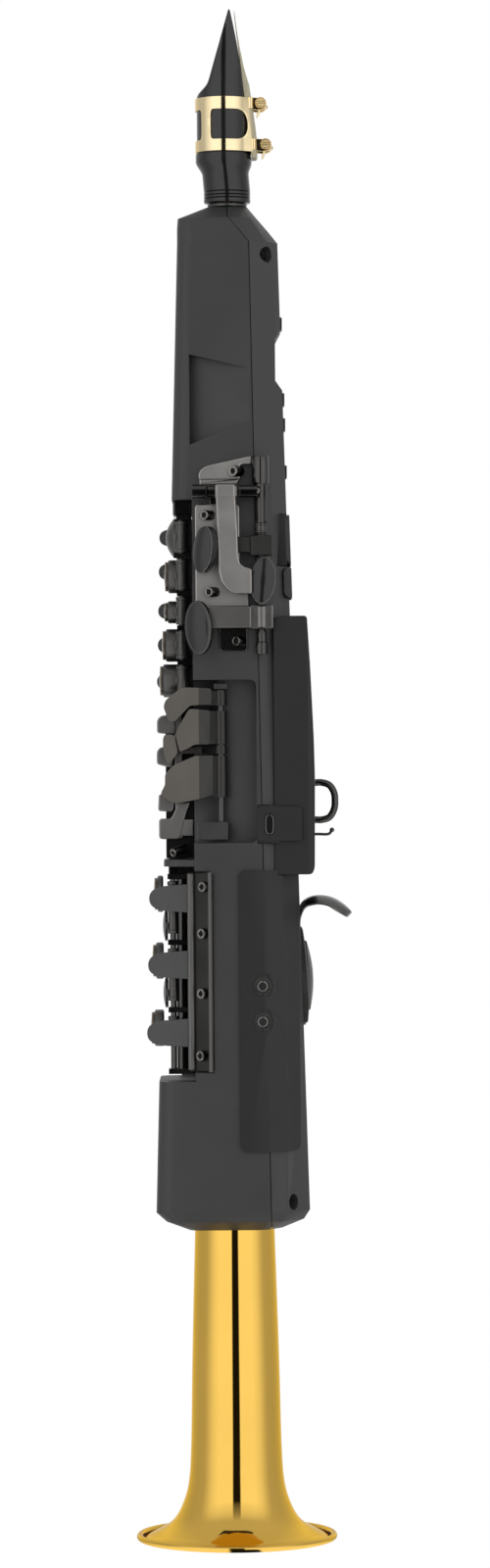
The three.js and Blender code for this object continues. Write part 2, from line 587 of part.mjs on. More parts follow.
// What lies on one side of the seam between the shells, with the seam moved back by a length.
function seamSide(side, move = 0) {
  const shift = fit.gap * seamShare * side - move;
  const line = [
    [body.seamBottom, body.bottom - fit.overrun], [body.seamFoot, body.foot],
    [body.seamTop, body.shoulder], [0, body.seamCap], [0, body.top + fit.overrun],
  ].map(([x, z]) => [x - shift, z]);
  const edge = -side * fit.far;
  return slab([[edge, body.bottom - fit.overrun], ...line, [edge, body.top + fit.overrun]],
    'y', -fit.far, fit.far);
}

// Housing: an outline in X and Z, wrapped round the back of the casing.
function housingForm(grow) {
  const h = housing;
  const outline = rounded([
    [h.left - grow, h.low - grow], [h.left - grow, h.topLeft + grow], [h.topInner, h.top + grow],
    [h.topOuter, h.top + grow], [h.upperX + grow, h.upperZ], [h.middleX + grow, h.middleZ],
    [h.widestX + grow, h.widestZ], [h.lowX + grow, h.lowZ], [h.cornerX, h.low - grow],
  ], h.edgeRadius * halfShare);
  const side = slab(outline, 'y', -h.half - grow, h.half + grow);
  const plan = slab(rounded([
    [h.left - fit.far, -h.half - grow], [h.widestX + grow, -h.half - grow],
    [h.widestX + grow, h.half + grow], [h.left - fit.far, h.half + grow],
  ], h.edgeRadius), 'z', h.low - fit.overrun, h.top + fit.overrun);
  return common(side, plan);
}

function housingTab(grow) {
  return block(housing.tabLeft - grow, housing.tabRight + grow, -housing.tabHalf - grow,
    -housing.tabInner + grow, housing.tabLow - grow, housing.tabHigh + grow);
}

// The battery tray that reaches through the back of the casing.
function tray(grow) {
  return block(housing.wellInner - housing.trayWall - grow, housing.upperX,
    -housing.wellHalf - housing.trayWall - grow, housing.wellHalf + housing.trayWall + grow,
    housing.wellLow - housing.trayWall - grow, housing.wellHigh + housing.trayWall + grow);
}

function makeShells() {
  const bosses = join(...board.bossZ.flatMap((z) => [-board.bossY, board.bossY].map((y) => bar(
    [board.x + board.thick + fit.gap, y, z], [backOf(z) - body.wall * halfShare, y, z],
    board.bossRadius, facets.small))));
  const wells = shellScrew.x.map((x, at) => common(common(casing(0), seamSide(-1)),
    screwBar(at, -fit.overrun, shellScrew.bossDepth, shellScrew.bossRadius, facets.medium)));
  const inside = cut(hollow(), recesses(body.wall), ...wells);
  const walls = cut(casing(0), inside, recesses(0));
  const boreRadius = bell.radius + bell.holeGap;
  const bore = turned([[0, body.bottom - fit.overrun], [boreRadius, body.bottom - fit.overrun],
    [boreRadius, bell.top], [0, bell.top]], facets.bell);
  const neckHole = bar([0, 0, neck.stemLow], [0, 0, body.top + fit.overrun],
    neck.stemRadius + fit.gap, facets.medium);
  const screwHoles = shellScrew.x.flatMap((x, at) => [
    screwBar(at, -fit.far, shellScrew.wellDepth, shellScrew.wellRadius, facets.medium),
    screwBar(at, 0, shellScrew.bossDepth + fit.overrun, shellScrew.holeRadius, facets.small),
  ]);
  const open = cut(walls, bore, neckHole, ...screwHoles, ...jackHoles(jack.radius + fit.gap),
    housingTab(fit.gap), tray(fit.gap), portHole(fit.gap));
  const tongue = common(common(open, casing(-middle(body.wall, fit.gap))), seamSide(-1, -body.tongue));
  const groove = common(casing(-middle(body.wall, -fit.gap)), seamSide(-1, -body.tongue - fit.gap));
  add('front_shell', cut(common(open, seamSide(1)), groove), finishes.casing);
  add('back_shell', join(common(open, seamSide(-1)), tongue, bosses), finishes.casing);
}

function makeShellScrews() {
  const names = ['shell_screw_upper', 'shell_screw_lower'];
  names.forEach((name, at) => {
    const seat = shellScrew.wellDepth - fit.gap;
    const head = screwBar(at, seat - shellScrew.headDepth, seat, shellScrew.headRadius, facets.medium);
    const socket = screwBar(at, seat - shellScrew.headDepth - fit.overrun,
      seat - shellScrew.headDepth + shellScrew.socketDepth, shellScrew.socketRadius, facets.socket);
    const shaft = screwBar(at, seat - shellScrew.socketDepth * halfShare,
      seat + shellScrew.shaftDepth - shellScrew.headDepth, shellScrew.shaftRadius, facets.small);
    add(name, cut(join(head, shaft), socket), finishes.steel);
  });
}

// The mouthpiece is turned, then cut flat for the reed and sloped for the beak.
function mouthpieceBlank() {
  const shank = turned([
    [0, mouthpiece.low], [mouthpiece.shankRadius, mouthpiece.low],
    [mouthpiece.shankRadius, mouthpiece.grooveLow],
    [mouthpiece.shankRadius - mouthpiece.grooveDepth, mouthpiece.grooveLow],
    [mouthpiece.shankRadius - mouthpiece.grooveDepth, mouthpiece.grooveHigh],
    [mouthpiece.shankRadius, mouthpiece.grooveHigh],
    [mouthpiece.shankTopRadius, mouthpiece.shankTop], [0, mouthpiece.shankTop],
  ], facets.round);
  const barrel = turned([
    [0, mouthpiece.collarLow], [mouthpiece.collarLowRadius, mouthpiece.collarLow],
    [mouthpiece.radius, mouthpiece.collarHigh], [mouthpiece.radius, mouthpiece.bandHigh],
    [mouthpiece.beakRadius, mouthpiece.beakLow], [mouthpiece.beakRadius, mouthpiece.tip],
    [0, mouthpiece.tip],
  ], facets.round, mouthpiece.offset);
  return join(shank, barrel);
}

function tableX(z) {
  const share = (z - mouthpiece.tableLow) / (mouthpiece.tip - mouthpiece.tableLow);
  return blend(mouthpiece.tableLowX, mouthpiece.tableTipX, share);
}

function beakX(z) {
  const share = (z - mouthpiece.beakLow) / (mouthpiece.tip - mouthpiece.beakLow);
  return blend(mouthpiece.beakLowX, mouthpiece.beakTipX, share);
}

function makeMouthpiece() {
  const m = mouthpiece;
  const over = m.tip + fit.overrun;
  const table = slab([[m.tableLowX, m.tableLow], [fit.far, m.tableLow], [fit.far, over],
    [tableX(over), over]], 'y', -fit.far, fit.far);
  const beak = slab([[m.beakLowX, m.beakLow], [beakX(over), over], [-fit.far, over],
    [-fit.far, m.beakLow]], 'y', -fit.far, fit.far);
  const cheeks = [1, -1].map((side) => slab([[side * m.beakHalf, m.beakLow],
    [side * m.tipHalf, m.tip], [side * m.tipHalf, over], [side * fit.far, over],
    [side * fit.far, m.beakLow]], 'x', -fit.far, fit.far));
  const bore = bar([0, 0, m.low - fit.overrun], [0, 0, m.boreTop], m.boreRadius, facets.medium);
  const chamber = slab([[beakX(m.beakLow) + m.roof, m.windowLow], [beakX(m.beakLow) + m.roof, m.beakLow],
    [Math.min(beakX(m.windowTop) + m.roof, tableX(m.windowTop)), m.windowTop], [fit.far, m.windowTop],
    [fit.far, m.boreTop], [m.boreRadius * halfShare, m.windowLow]], 'y', -m.windowHalf, m.windowHalf);
  add('mouthpiece', cut(mouthpieceBlank(), table, beak, ...cheeks, bore, chamber), finishes.ebonite);
}

function makeReed() {
  const seat = (z) => tableX(z) + fit.gap;
  const side = slab([[seat(reed.heel), reed.heel], [reed.heelX, reed.heel], [reed.vampX, reed.vamp],
    [reed.tipX, reed.tip], [seat(reed.tip), reed.tip]], 'y', -reed.tipHalf, reed.tipHalf);
  const face = slab([[-reed.heelHalf, reed.heel], [reed.heelHalf, reed.heel],
    [reed.tipHalf, reed.tip], [-reed.tipHalf, reed.tip]], 'x', 0, fit.far);
  add('reed', common(side, face), finishes.cane);
}

// The ligature's level section: a round band drawn out to two corners over the reed.
function bandRing(z, grow) {
  const radius = mouthpiece.radius + grow;
  const share = (z - reed.heel) / (reed.vamp - reed.heel);
  const corner = [blend(reed.heelX, reed.vampX, share) + grow, ligature.pocketHalf];
  const open = Math.atan2(corner[1] + grow, corner[0] - mouthpiece.offset) * (1 / halfShare);
  const arc = [];
  for (let step = 0; step <= facets.medium; step += 1) {
    const angle = blend(open, Math.PI / halfShare - open, step / facets.medium);
    arc.push([mouthpiece.offset + Math.cos(angle) * radius, Math.sin(angle) * radius, z]);
  }
  return [[corner[0], -corner[1], z], [corner[0], corner[1], z], ...arc];
}

function makeLigature() {
  const l = ligature;
  const band = loft([bandRing(l.low, l.outside), bandRing(l.high, l.outside)]);
  const inside = loft([bandRing(l.low - fit.overrun, l.inside), bandRing(l.high + fit.overrun, l.inside)]);
  const window = slab(rounded([[l.windowLeft, l.windowLow], [l.windowRight, l.windowLow],
    [l.windowRight, l.windowHigh], [l.windowLeft, l.windowHigh]], l.windowRadius), 'y', -fit.far, fit.far);
  const front = block(-fit.far, l.frontRight, -fit.far, fit.far, l.frontLow, l.frontHigh);
  const lugs = l.screwX.flatMap((x, at) => [-1, 1].map((side) => {
    const [a, b] = [side * l.lugInner, side * l.lugOuter];
    const z = l.screwZ[at];
    const eye = bar([x, a, z], [x, b, z], l.lugRadius, facets.small);
    const web = block(x - l.lugDepth, x, Math.min(a, b), Math.max(a, b),
      z - l.screwRadius, z + l.screwRadius);
    return join(eye, web);
  }));
  const holes = l.screwX.map((x, at) => bar([x, -fit.far, l.screwZ[at]], [x, fit.far, l.screwZ[at]],
    l.screwRadius + fit.runningGap, facets.small));
  add('ligature', cut(join(band, ...lugs), inside, window, front, ...holes), finishes.brass);
}

function makeLigatureScrews() {
  const l = ligature;
  ['ligature_screw_upper', 'ligature_screw_lower'].forEach((name, at) => {
    const [x, z] = [l.screwX[at], l.screwZ[at]];
    const seat = l.lugOuter + fit.gap;
    const shaft = bar([x, -seat, z], [x, seat + fit.gap, z], l.screwRadius, facets.small);
    const head = bar([x, -seat - l.headDepth, z], [x, -seat, z], l.headRadius, facets.small);
    const slot = block(x - l.headRadius, x + l.headRadius, -seat - l.headDepth - fit.overrun,
      -seat - l.headDepth + l.slotDepth, z - l.slotWidth * halfShare, z + l.slotWidth * halfShare);
    const wing = block(x - l.thumbRadius, x + l.thumbRadius, seat + l.collarDepth, seat + l.thumbDepth,
      z - l.thumbFlat * halfShare, z + l.thumbFlat * halfShare);
    const collar = bar([x, seat, z], [x, seat + l.collarDepth + l.thumbFlat, z], l.collarRadius,
      facets.small);
    add(name, cut(join(shaft, head, collar, wing), slot), finishes.brass);
  });
}

function makeNeck() {
  const n = neck;
  add('neck', cut(turned([
    [0, n.pipeLow], [n.canRadius, n.pipeLow], [n.canRadius, n.canHigh], [n.pipeRadius, n.canHigh],
    [n.pipeRadius, n.stemLow], [n.stemRadius, n.stemLow], [n.stemRadius, n.ringLow],
    [n.ringRadius, n.ringLow], [n.ringRadius, n.ringHigh], [n.corkRadius, n.ringHigh],
    [n.corkRadius, n.corkTop], [0, n.corkTop],
  ], facets.medium), bar([0, 0, n.pipeLow - fit.overrun], [0, 0, n.corkTop + fit.overrun],
    n.boreRadius, facets.small)), finishes.housing);
}

// The bell's outline from the tube down to the rim, and the same line a wall inside it.
function flare(inset) {
  const line = flareHeightShares.map((share, at) => [
    blend(bell.radius, bell.rimRadius - bell.beadRadius, flareWidthShares[at]), bell.flareTop * share]);
  const points = [[bell.radius, bell.top], ...line, [bell.rimRadius - bell.beadRadius, bell.lipHeight]];
  return points.map(([radius, height], at) => {
    const before = points[Math.max(at - 1, 0)];
    const after = points[Math.min(at + 1, points.length - 1)];
    const way = new THREE.Vector2(after[0] - before[0], after[1] - before[1]).normalize();
    return [radius + way.y * inset, height - way.x * inset];
  });
}

function makeBell() {
  const skin = turned([...flare(0), ...flare(bell.wall).reverse(), flare(0)[0]], facets.bell);
  const bead = [];
  for (let step = 0; step <= facets.small; step += 1) {
    const angle = (Math.PI / halfShare) * ((step + halfShare) / facets.small);
    bead.push([bell.rimRadius - bell.beadRadius + Math.sin(angle) * bell.beadRadius,
      bell.beadRadius * Math.cos(Math.PI / facets.small) - Math.cos(angle) * bell.beadRadius]);
  }
  const inner = bell.radius - bell.wall * halfShare;
  const gripped = [[inner, bell.collarLow], [bell.collarRadius, bell.collarLow],
    [bell.collarRadius, bell.collarHigh], [inner, bell.collarHigh], [inner, bell.collarLow]];
  add('bell', join(skin, turned(bead, facets.bell), turned(gripped, facets.bell)), finishes.lacquer);
}

function makeHousing() {
  const h = housing;
  const shell = join(cut(housingForm(0), casing(fit.gap)), housingTab(0), tray(0));
  const well = block(h.wellInner, fit.far, -h.wellHalf, h.wellHalf, h.wellLow, h.wellHigh);
  const coverSeat = block(cover.inner - fit.gap, fit.far, -cover.half - fit.gap, cover.half + fit.gap,
    cover.low - fit.gap, cover.high + fit.gap);
  const ringHoles = [strapRing.high, strapRing.low].map((z) => bar([strapRing.root - fit.gap, 0, z],
    [fit.far, 0, z], strapRing.wire + fit.gap * 2, facets.small));
  const hookHole = bar([cordHook.root - fit.gap, 0, cordHook.z], [fit.far, 0, cordHook.z],
    cordHook.wire + fit.gap * 2, facets.small);
  add('back_housing', cut(shell, well, coverSeat, portHole(fit.gap), ...ringHoles, hookHole),
    finishes.housing);
  add('battery_cover', common(housingForm(0),
    block(cover.inner, fit.far, -cover.half, cover.half, cover.low, cover.high)), finishes.housing);
  const cells = [-1, 1].map((side) => {
    const y = side * (cell.radius - cell.overlap);
    const x = cover.inner - fit.gap - cell.radius;
    const can = bar([x, y, cell.low], [x, y, cell.high - cell.capRise], cell.radius, facets.medium);
    const cap = bar([x, y, cell.low], [x, y, cell.high], cell.capRadius, facets.small);
    return join(can, cap);
  });
  add('batteries', join(...cells), finishes.cell);
}

// The opening for the port, from outside the tab to inside the casing.
function portHole(grow) {
  const [wide, tall] = [usbPort.wide * halfShare + grow, usbPort.tall * halfShare + grow];
  return slab(rounded([
    [usbPort.x - wide, usbPort.z - tall], [usbPort.x + wide, usbPort.z - tall],
    [usbPort.x + wide, usbPort.z + tall], [usbPort.x - wide, usbPort.z + tall],
  ], usbPort.wide * halfShare), 'y', -housing.tabHalf - fit.overrun,
  -housing.tabHalf + usbPort.recess + usbPort.depth + grow);
}

function makePort() {
  const outer = -housing.tabHalf + usbPort.recess;
  const trim = block(-fit.far, fit.far, -fit.far, outer, usbPort.z - fit.far, usbPort.z + fit.far);
  const mouth = block(usbPort.x - usbPort.wide * halfShare + usbPort.wall,
    usbPort.x + usbPort.wide * halfShare - usbPort.wall, -fit.far, outer + usbPort.depth - usbPort.wall,
    usbPort.z - usbPort.tall * halfShare + usbPort.wide * halfShare,
    usbPort.z + usbPort.tall * halfShare - usbPort.wide * halfShare);
  add('usb_port', cut(portHole(0), trim, mouth), finishes.steel);
}

function makeStrapRing() {
  const r = strapRing;
  const centre = middle(r.high, r.low);
  const [side, corner] = [blend(r.bend, r.reach, r.sideShare), (r.high - r.low) * r.cornerShare];
  const points = [[r.root, r.high], [r.bend, r.high], [side, centre + corner], [r.reach, centre],
    [side, centre - corner], [r.bend, r.low], [r.root, r.low]];
  add('strap_ring', wire(points.map(([x, z]) => [x, 0, z]), r.wire, facets.small, facets.medium),
    finishes.darkMetal);
}

function makeCordHook() {
  const c = cordHook;
  const stem = wire([[c.root, c.z], [c.reach, c.z], [c.tipX, c.tipZ]].map(([x, z]) => [x, 0, z]),
    c.wire, facets.socket, facets.curve * 2);
  const end = ball(c.tipX, 0, c.tipZ, c.ball, c.ball, c.ball, facets.small);
  add('cord_hook', join(stem, end), finishes.darkMetal);
}

// The control strip fills its hollow flush with the back, with a well for each button.
function buttonOutline(z, grow) {
  const [half, tall] = [controls.buttonHalf + grow, controls.buttonTall * halfShare + grow];
  return rounded([[-half, z - tall], [half, z - tall], [half, z + tall], [-half, z + tall]],
    controls.cornerRadius);
}

function makeControls() {
  const c = controls;
  const strip = common(casing(0), block(c.inner + fit.gap, fit.far, -c.half, c.half, c.low, c.high));
  const dipX = backOf(dip.flatHigh) - dip.depth;
  const backDip = slab([[dipX, dip.flatLow], [dipX, dip.flatHigh], [backOf(dip.high), dip.high],
    [fit.far, dip.high], [fit.far, dip.low], [backOf(dip.low), dip.low]], 'y', -fit.far, fit.far);
  const wells = c.buttonZ.map((z) => slab(buttonOutline(z, fit.gap), 'x',
    backOf(z) - c.buttonDepth - c.travel - fit.gap, fit.far));
  add('control_strip', cut(strip, backDip, ...wells), finishes.housing);
  ['button_power', 'button_up', 'button_down', 'button_select'].forEach((name, at) => {
    const z = c.buttonZ[at];
    add(name, slab(buttonOutline(z, 0), 'x', backOf(z) - c.buttonDepth, backOf(z) + c.buttonRise),
      finishes.touch);
  });
}

function makeThumbPieces() {
  const o = octave;
  const outer = backOf(o.low) + o.rise;
  const pad = slab(rounded([[-o.half, o.low], [o.half, o.low], [o.half, o.high], [-o.half, o.high]],
    o.edgeRadius), 'x', outer - o.thick, fit.far);
  add('octave_key', common(pad, casing(o.rise)), finishes.touch);
  const t = thumbRest;
  const outline = rounded([[-t.half, t.low], [t.half, t.low], [t.half, t.high], [-t.half, t.high]],
    t.edgeRadius);
  add('thumb_rest', cut(common(slab(outline, 'x', 0, fit.far), casing(t.rise)), casing(fit.gap)),
    finishes.touch);
}

function makeThumbHook() {
  const rise = fit.gap + hook.thick * halfShare;
  const line = [[hookSeatX(hook.plateLow) + rise, hook.plateLow],
    [hookSeatX(hook.plateHigh) + rise, hook.plateHigh], ...hookCurve];
  const smooth = new THREE.SplineCurve(line.map(([x, z]) => new THREE.Vector2(x, z)));
  const points = [new THREE.Vector2(...line[0]), ...smooth.getPoints(facets.medium).filter(
    (point) => point.y > hook.plateHigh || point.x > hookCurve[1][0])];
  const sides = points.map((point, at) => {
    const ahead = points[Math.min(at + 1, points.length - 1)];
    const behind = points[Math.max(at - 1, 0)];
    const way = ahead.clone().sub(behind).normalize();
    const out = new THREE.Vector2(way.y, -way.x).multiplyScalar(hook.thick * halfShare);
    return [point.clone().add(out), point.clone().sub(out)];
  });
  const outline = [...sides.map(([out]) => out), ...sides.map(([, back]) => back).reverse()];
  const strip = slab(outline.map(({ x, y }) => [x, y]), 'y', -hook.half, hook.half);
  const tip = hookCurve[hookCurve.length - 1][0];
  const plan = slab(rounded([[0, -hook.half, 0], [tip + hook.thick, -hook.half],
    [tip + hook.thick, hook.half], [0, hook.half, 0]], hook.tipRadius), 'z', 0, body.top);
  add('thumb_hook', common(strip, plan), finishes.darkMetal);
  const lean = Math.atan2(hookSeat.highX - hookSeat.lowX, hookSeat.high - hookSeat.low);
  const rim = slab(ellipse(0, 0, rocker.half, rocker.tall), 'x', rocker.gap, rocker.gap + rocker.rim,
    facets.small);
  const lens = ball(rocker.gap + rocker.rim, 0, 0, rocker.dome, rocker.half, rocker.tall, facets.round);
  const dome = common(lens, block(
    rocker.gap, fit.far, -fit.far, fit.far, -fit.far, fit.far));
  add('thumb_controller', join(rim, dome), finishes.touch,
    [hookSeatX(rocker.z) + fit.gap + hook.thick, 0, rocker.z], lean);
}

function makeSidePanel() {
  const p = sidePanel;
  const outline = rounded([[p.left, p.low], [p.right, p.low], [p.right, p.high], [p.left, p.high]],
    p.cornerRadius);
  const skin = cut(casing(p.rise), casing(fit.gap), housingForm(fit.gap));
  add('side_panel', cut(common(skin, slab(outline, 'y', -fit.far, 0)), ...jackHoles(jack.radius + fit.gap)),
    finishes.housing);
  ['jack_phones', 'jack_line'].forEach((name, at) => {
    const z = jack.z[at];
    const outer = -halfWidth(z) - p.rise - jack.proud;
    const barrel = bar([jack.x, outer, z], [jack.x, outer + jack.length, z], jack.radius, facets.medium);
    const hole = bar([jack.x, outer - fit.overrun, z], [jack.x, outer + jack.depth, z],
      jack.boreRadius, facets.small);
    add(name, cut(barrel, hole), finishes.steel);
  });
}

// A round key barrel on an upright rod, with its running bore.
function barrel(x, y, low, high, radius, rodRadius) {
  return {
    body: bar([x, y, low], [x, y, high], radius, facets.medium),
    bore: bar([x, y, low - fit.far], [x, y, high + fit.far], rodRadius + fit.runningGap, facets.small),
  };
}

function makePalmPlate() {
  const [p, l] = [palm, palmLever];
  const outline = (points) => slab(rounded(points, p.cornerRadius), 'y', p.plateFront, p.plateBack);
  const plates = [
    outline([[p.left, p.middleLow], [p.right, p.middleLow], [p.right, p.plateHigh], [p.left, p.plateHigh]]),
    outline([[p.neckLeft, p.plateLow], [p.right, p.plateLow], [p.right, p.middleHigh],
      [p.neckLeft, p.middleHigh]]),
    outline([[p.neckLeft, p.middleHigh], [p.wingRight, p.middleHigh], [p.wingRight, p.wingTop],
      [p.neckLeft, p.wingLeftTop]]),
    outline([[p.wingLeft, p.wingLow], [p.wingRight, p.wingLow], [p.wingRight, p.wingTop],
      [p.neckLeft, p.wingLeftTop], [p.wingLeft, middle(p.wingLow, p.wingLeftTop)]]),
  ];
  const tubes = [[l.tubeLeft, l.left - fit.gap], [l.right + fit.gap, l.tubeRight]].map(([a, b]) => bar(
    [a, l.pivotY, l.pivotZ], [b, l.pivotY, l.pivotZ], l.barrelRadius, facets.medium));
  const pin = bar([l.tubeLeft, l.pivotY, l.pivotZ], [l.tubeRight, l.pivotY, l.pivotZ],
    l.pinRadius, facets.small);
  const lugs = [[l.lugLeft, l.lugMiddle], [l.lugInner, l.lugRight]].map(([a, b]) => block(
    a, b, l.pivotY, p.plateBack, l.pivotZ - l.lugHalf, l.pivotZ + l.lugHalf));
  const web = block(p.neckLeft, l.lugRight, p.plateFront, p.plateBack, p.plateHigh - p.cornerRadius,
    p.wingLow + p.cornerRadius);
  const leftWeb = block(l.lugLeft, p.neckLeft, p.plateFront, p.plateBack,
    p.plateHigh - p.cornerRadius * 2, p.wingLow + p.cornerRadius);
  const heads = p.screwX.map((x, at) => bar([x, p.plateBack, p.screwZ[at]],
    [x, p.plateFront - p.screwRise, p.screwZ[at]], p.screwRadius, facets.small));
  const sockets = p.screwX.map((x, at) => bar([x, -fit.far, p.screwZ[at]],
    [x, p.plateFront - p.screwRise + p.socketDepth, p.screwZ[at]], p.socketRadius, facets.socket));
  const whole = join(...plates, ...tubes, pin, ...lugs, web, leftWeb, ...heads);
  add('palm_plate', cut(whole, casing(fit.gap), ...sockets), finishes.darkMetal);
}

function makePalmRod() {
  const p = palm;
  const upright = (low, high, radius) => bar([p.rodX, p.rodY, low], [p.rodX, p.rodY, high],
    radius, facets.medium);
  const foot = (low, high, half) => block(p.rodX - half, p.rodX + half, p.rodY, p.footBack, low, high);
  const lowTop = palmThree.low - fit.gap;
  const [footLow, footTop] = [palmThree.high + fit.gap, palmTwo.low - fit.gap];
  const pieces = [
    upright(p.rodLow, p.rodHigh, p.rodRadius),
    upright(p.blockLow, p.rodHigh, p.blockRadius), foot(p.blockLow, p.rodHigh, p.blockRadius),
    upright(palmTwo.high + fit.gap, p.collarHigh, p.collarRadius),
    upright(p.rodLow, lowTop, p.lowRadius), foot(p.rodLow, lowTop, p.footHalf),
    upright(footLow, footTop, p.footRadius), foot(footLow, footTop, p.footHalf),
  ];
  add('palm_rod', cut(join(...pieces), casing(fit.gap)), finishes.darkMetal);
}

function makePalmLever() {
  const l = palmLever;
  const roll = bar([l.left, l.pivotY, l.pivotZ], [l.right, l.pivotY, l.pivotZ], l.barrelRadius,
    facets.medium);
  const bridge = block(l.left, l.right, l.armFront, l.pivotY, l.pivotZ - l.lugHalf, l.armTop);
  const arm = slab(rounded([
    [l.left, l.armTop, l.edgeRadius], [l.right, l.armTop, l.edgeRadius],
    [l.right, l.crossHigh, l.innerRadius],
    [l.crossRight, l.crossHigh, l.edgeRadius], [l.crossRight, l.crossLow, l.edgeRadius],
    [l.left, l.crossLow, l.outerRadius],
  ]), 'y', l.armFront, l.armBack);
  const touch = slab(ellipse(l.touchX, l.touchZ, l.touchHalfX, l.touchHalfZ, l.touchLean), 'y',
    l.touchFront, l.armBack, facets.medium);
  const bore = bar([-fit.far, l.pivotY, l.pivotZ], [fit.far, l.pivotY, l.pivotZ],
    l.pinRadius + fit.runningGap, facets.small);
  add('palm_key_1', cut(join(roll, bridge, arm, touch), bore), finishes.darkMetal);
}

function makePalmTouchKeys() {
  const t = palmTouch;
  [['palm_key_2', palmTwo], ['palm_key_3', palmThree]].forEach(([name, key]) => {
    const form = slabForm(ellipse(0, 0, t.half, t.tall, key.lean), 'y', 0, t.thick, facets.medium);
    form.rotateZ(-THREE.MathUtils.degToRad(t.aim)).translate(key.x, key.y, key.z);
    const behind = block(-fit.far, fit.far, t.back, fit.far, key.z - fit.far, key.z + fit.far);
    const beside = block(t.stop, fit.far, -fit.far, t.stopY, key.z - fit.far, key.z + fit.far);
    const touch = cut(solidOf(form), behind, beside);
    const arm = block(t.armLeft, palm.rodX, t.armFront, t.back, key.low, key.high);
    const tube = barrel(palm.rodX, palm.rodY, key.low, key.high, t.barrelRadius, palm.rodRadius);
    add(name, cut(join(touch, arm, tube.body), tube.bore), finishes.darkMetal);
  });
}

// The rail behind a stack's rod, which ties its posts together.
function rail(s) {
  return block(s.railLeft, stack.floor - fit.gap, s.railFront, s.railBack, s.low, s.top);
}

function makeLeftStack() {
  const s = leftStack;
  const between = s.z.slice(1).map((z, at) => middle(z, s.z[at]));
  const posts = [s.top - s.postThick * halfShare, ...between, s.low + s.postThick * halfShare];
  const rod = bar([s.rodX, s.rodY, s.low], [s.rodX, s.rodY, s.top], s.rodRadius, facets.small);
  const feet = posts.map((z) => block(s.rodX - s.postHalf, stack.floor - fit.gap, s.rodY - s.postHalf,
    s.railBack, z - s.postThick * halfShare, z + s.postThick * halfShare));
  add('left_hand_rod', join(rod, ...feet, rail(s)), finishes.darkMetal);
  s.z.forEach((z, at) => {
    const clear = s.postThick * halfShare + fit.gap;
    const tube = barrel(s.rodX, s.rodY, posts[at + 1] + clear, posts[at] - clear, s.barrelRadius,
      s.rodRadius);
    const [front, radius] = [s.front[at], s.radius[at]];
    const cup = bar([front, 0, z], [s.back, 0, z], radius, facets.medium);
    const arm = block(s.back - s.armThick, s.back, s.rodY, 0, z - s.armHalf, z + s.armHalf);
    const pearl = bar([front - s.pearlRise, 0, z], [front, 0, z], radius * s.pearlShare, facets.medium);
    add(`left_hand_key_${at + 1}`, cut(join(cup, arm, tube.body, pearl), tube.bore), finishes.touch);
  });
}

// A flat finger fin with a round tip, pointing to the front from a root line.
function fin(root, tip, z, rootHalf, tipRadius, low, high) {
  return slab(rounded([[root, z - rootHalf, 0], [tip, z - tipRadius], [tip, z + tipRadius],
    [root, z + rootHalf, 0]], tipRadius), 'y', low, high);
}

function makeLeftGuard() {
  const g = leftGuard;
  const foot = block(g.footX, stack.floor - fit.gap, g.inner, g.foot, g.low, g.high);
  const fins = g.z.map((z, at) => fin(g.footX + g.thick * halfShare, g.tip[at], z, g.rootHalf, g.tipRadius,
    g.inner, g.inner + g.thick));
  add('left_hand_guard', join(foot, ...fins), finishes.touch);
}

// A table key is its side outline, cut to a level section that follows the casing's corner.
function makeTableKeys() {
  const t = table;
  const face = new THREE.Vector2(t.ridgeX - t.frontX, t.ridgeY - t.frontY).normalize();
  const inward = [-face.y * t.thick, face.x * t.thick];
  const section = [[t.frontX, t.frontY], [t.ridgeX, t.ridgeY], [t.flankX, t.flankY],
    [t.flankX, t.flankY + t.thick], [t.ridgeX, t.ridgeY + t.thick / face.x],
    [t.frontX + inward[0], t.frontY + inward[1]]];
  [tableKeyOne, tableKeyTwo, tableKeyThree, tableKeyFour].forEach((outline, at) => {
    const [low, high] = tableBarrels[at];
    const form = common(slab(rounded(outline, t.cornerRadius), 'y', -fit.far, 0),
      slab(section, 'z', t.low, t.top));
    const tube = barrel(t.rodX, t.rodY, low, high, t.barrelRadius, t.rodRadius);
    const arm = outline === tableKeyThree
      ? slab(tableArm.path, 'z', tableArm.low, tableArm.high)
      : block(t.flankX - t.thick * halfShare, t.rodX, t.armOuter, t.armInner, low, high);
    add(`table_key_${at + 1}`, cut(join(form, arm, tube.body), tube.bore), finishes.darkMetal);
  });
  const rod = bar([t.rodX, t.rodY, t.low], [t.rodX, t.rodY, t.top], t.rodRadius, facets.small);
  const outer = t.rodY - t.endHalf;
  const top = block(t.rodX - t.endHalf, t.rodX + t.endHalf, outer, tableBay.floor - fit.gap,
    t.top - t.endThick, t.top);
  const low = block(t.footLeft, t.rodX + t.endHalf, outer, tableBay.floor - fit.gap, t.low, t.footHigh);
  add('table_bracket', join(rod, top, low), finishes.darkMetal);
}

function makeComb() {
  const c = comb;
  const spine = block(c.arm, c.spine, c.front, c.back, c.low, c.high);
  const tabs = c.lows.map((low, at) => block(c.left, c.spine, c.front, c.back, low, low + c.tall[at]));
  const foot = block(c.arm, stack.floor - fit.gap, c.front, c.back, c.footLow, c.footHigh);
  const backing = block(c.backLeft, stack.floor - fit.gap, c.back, c.back + c.backThick,
    c.backLow, c.high);
  add('table_guard', join(spine, ...tabs, foot, backing), finishes.darkMetal);
}

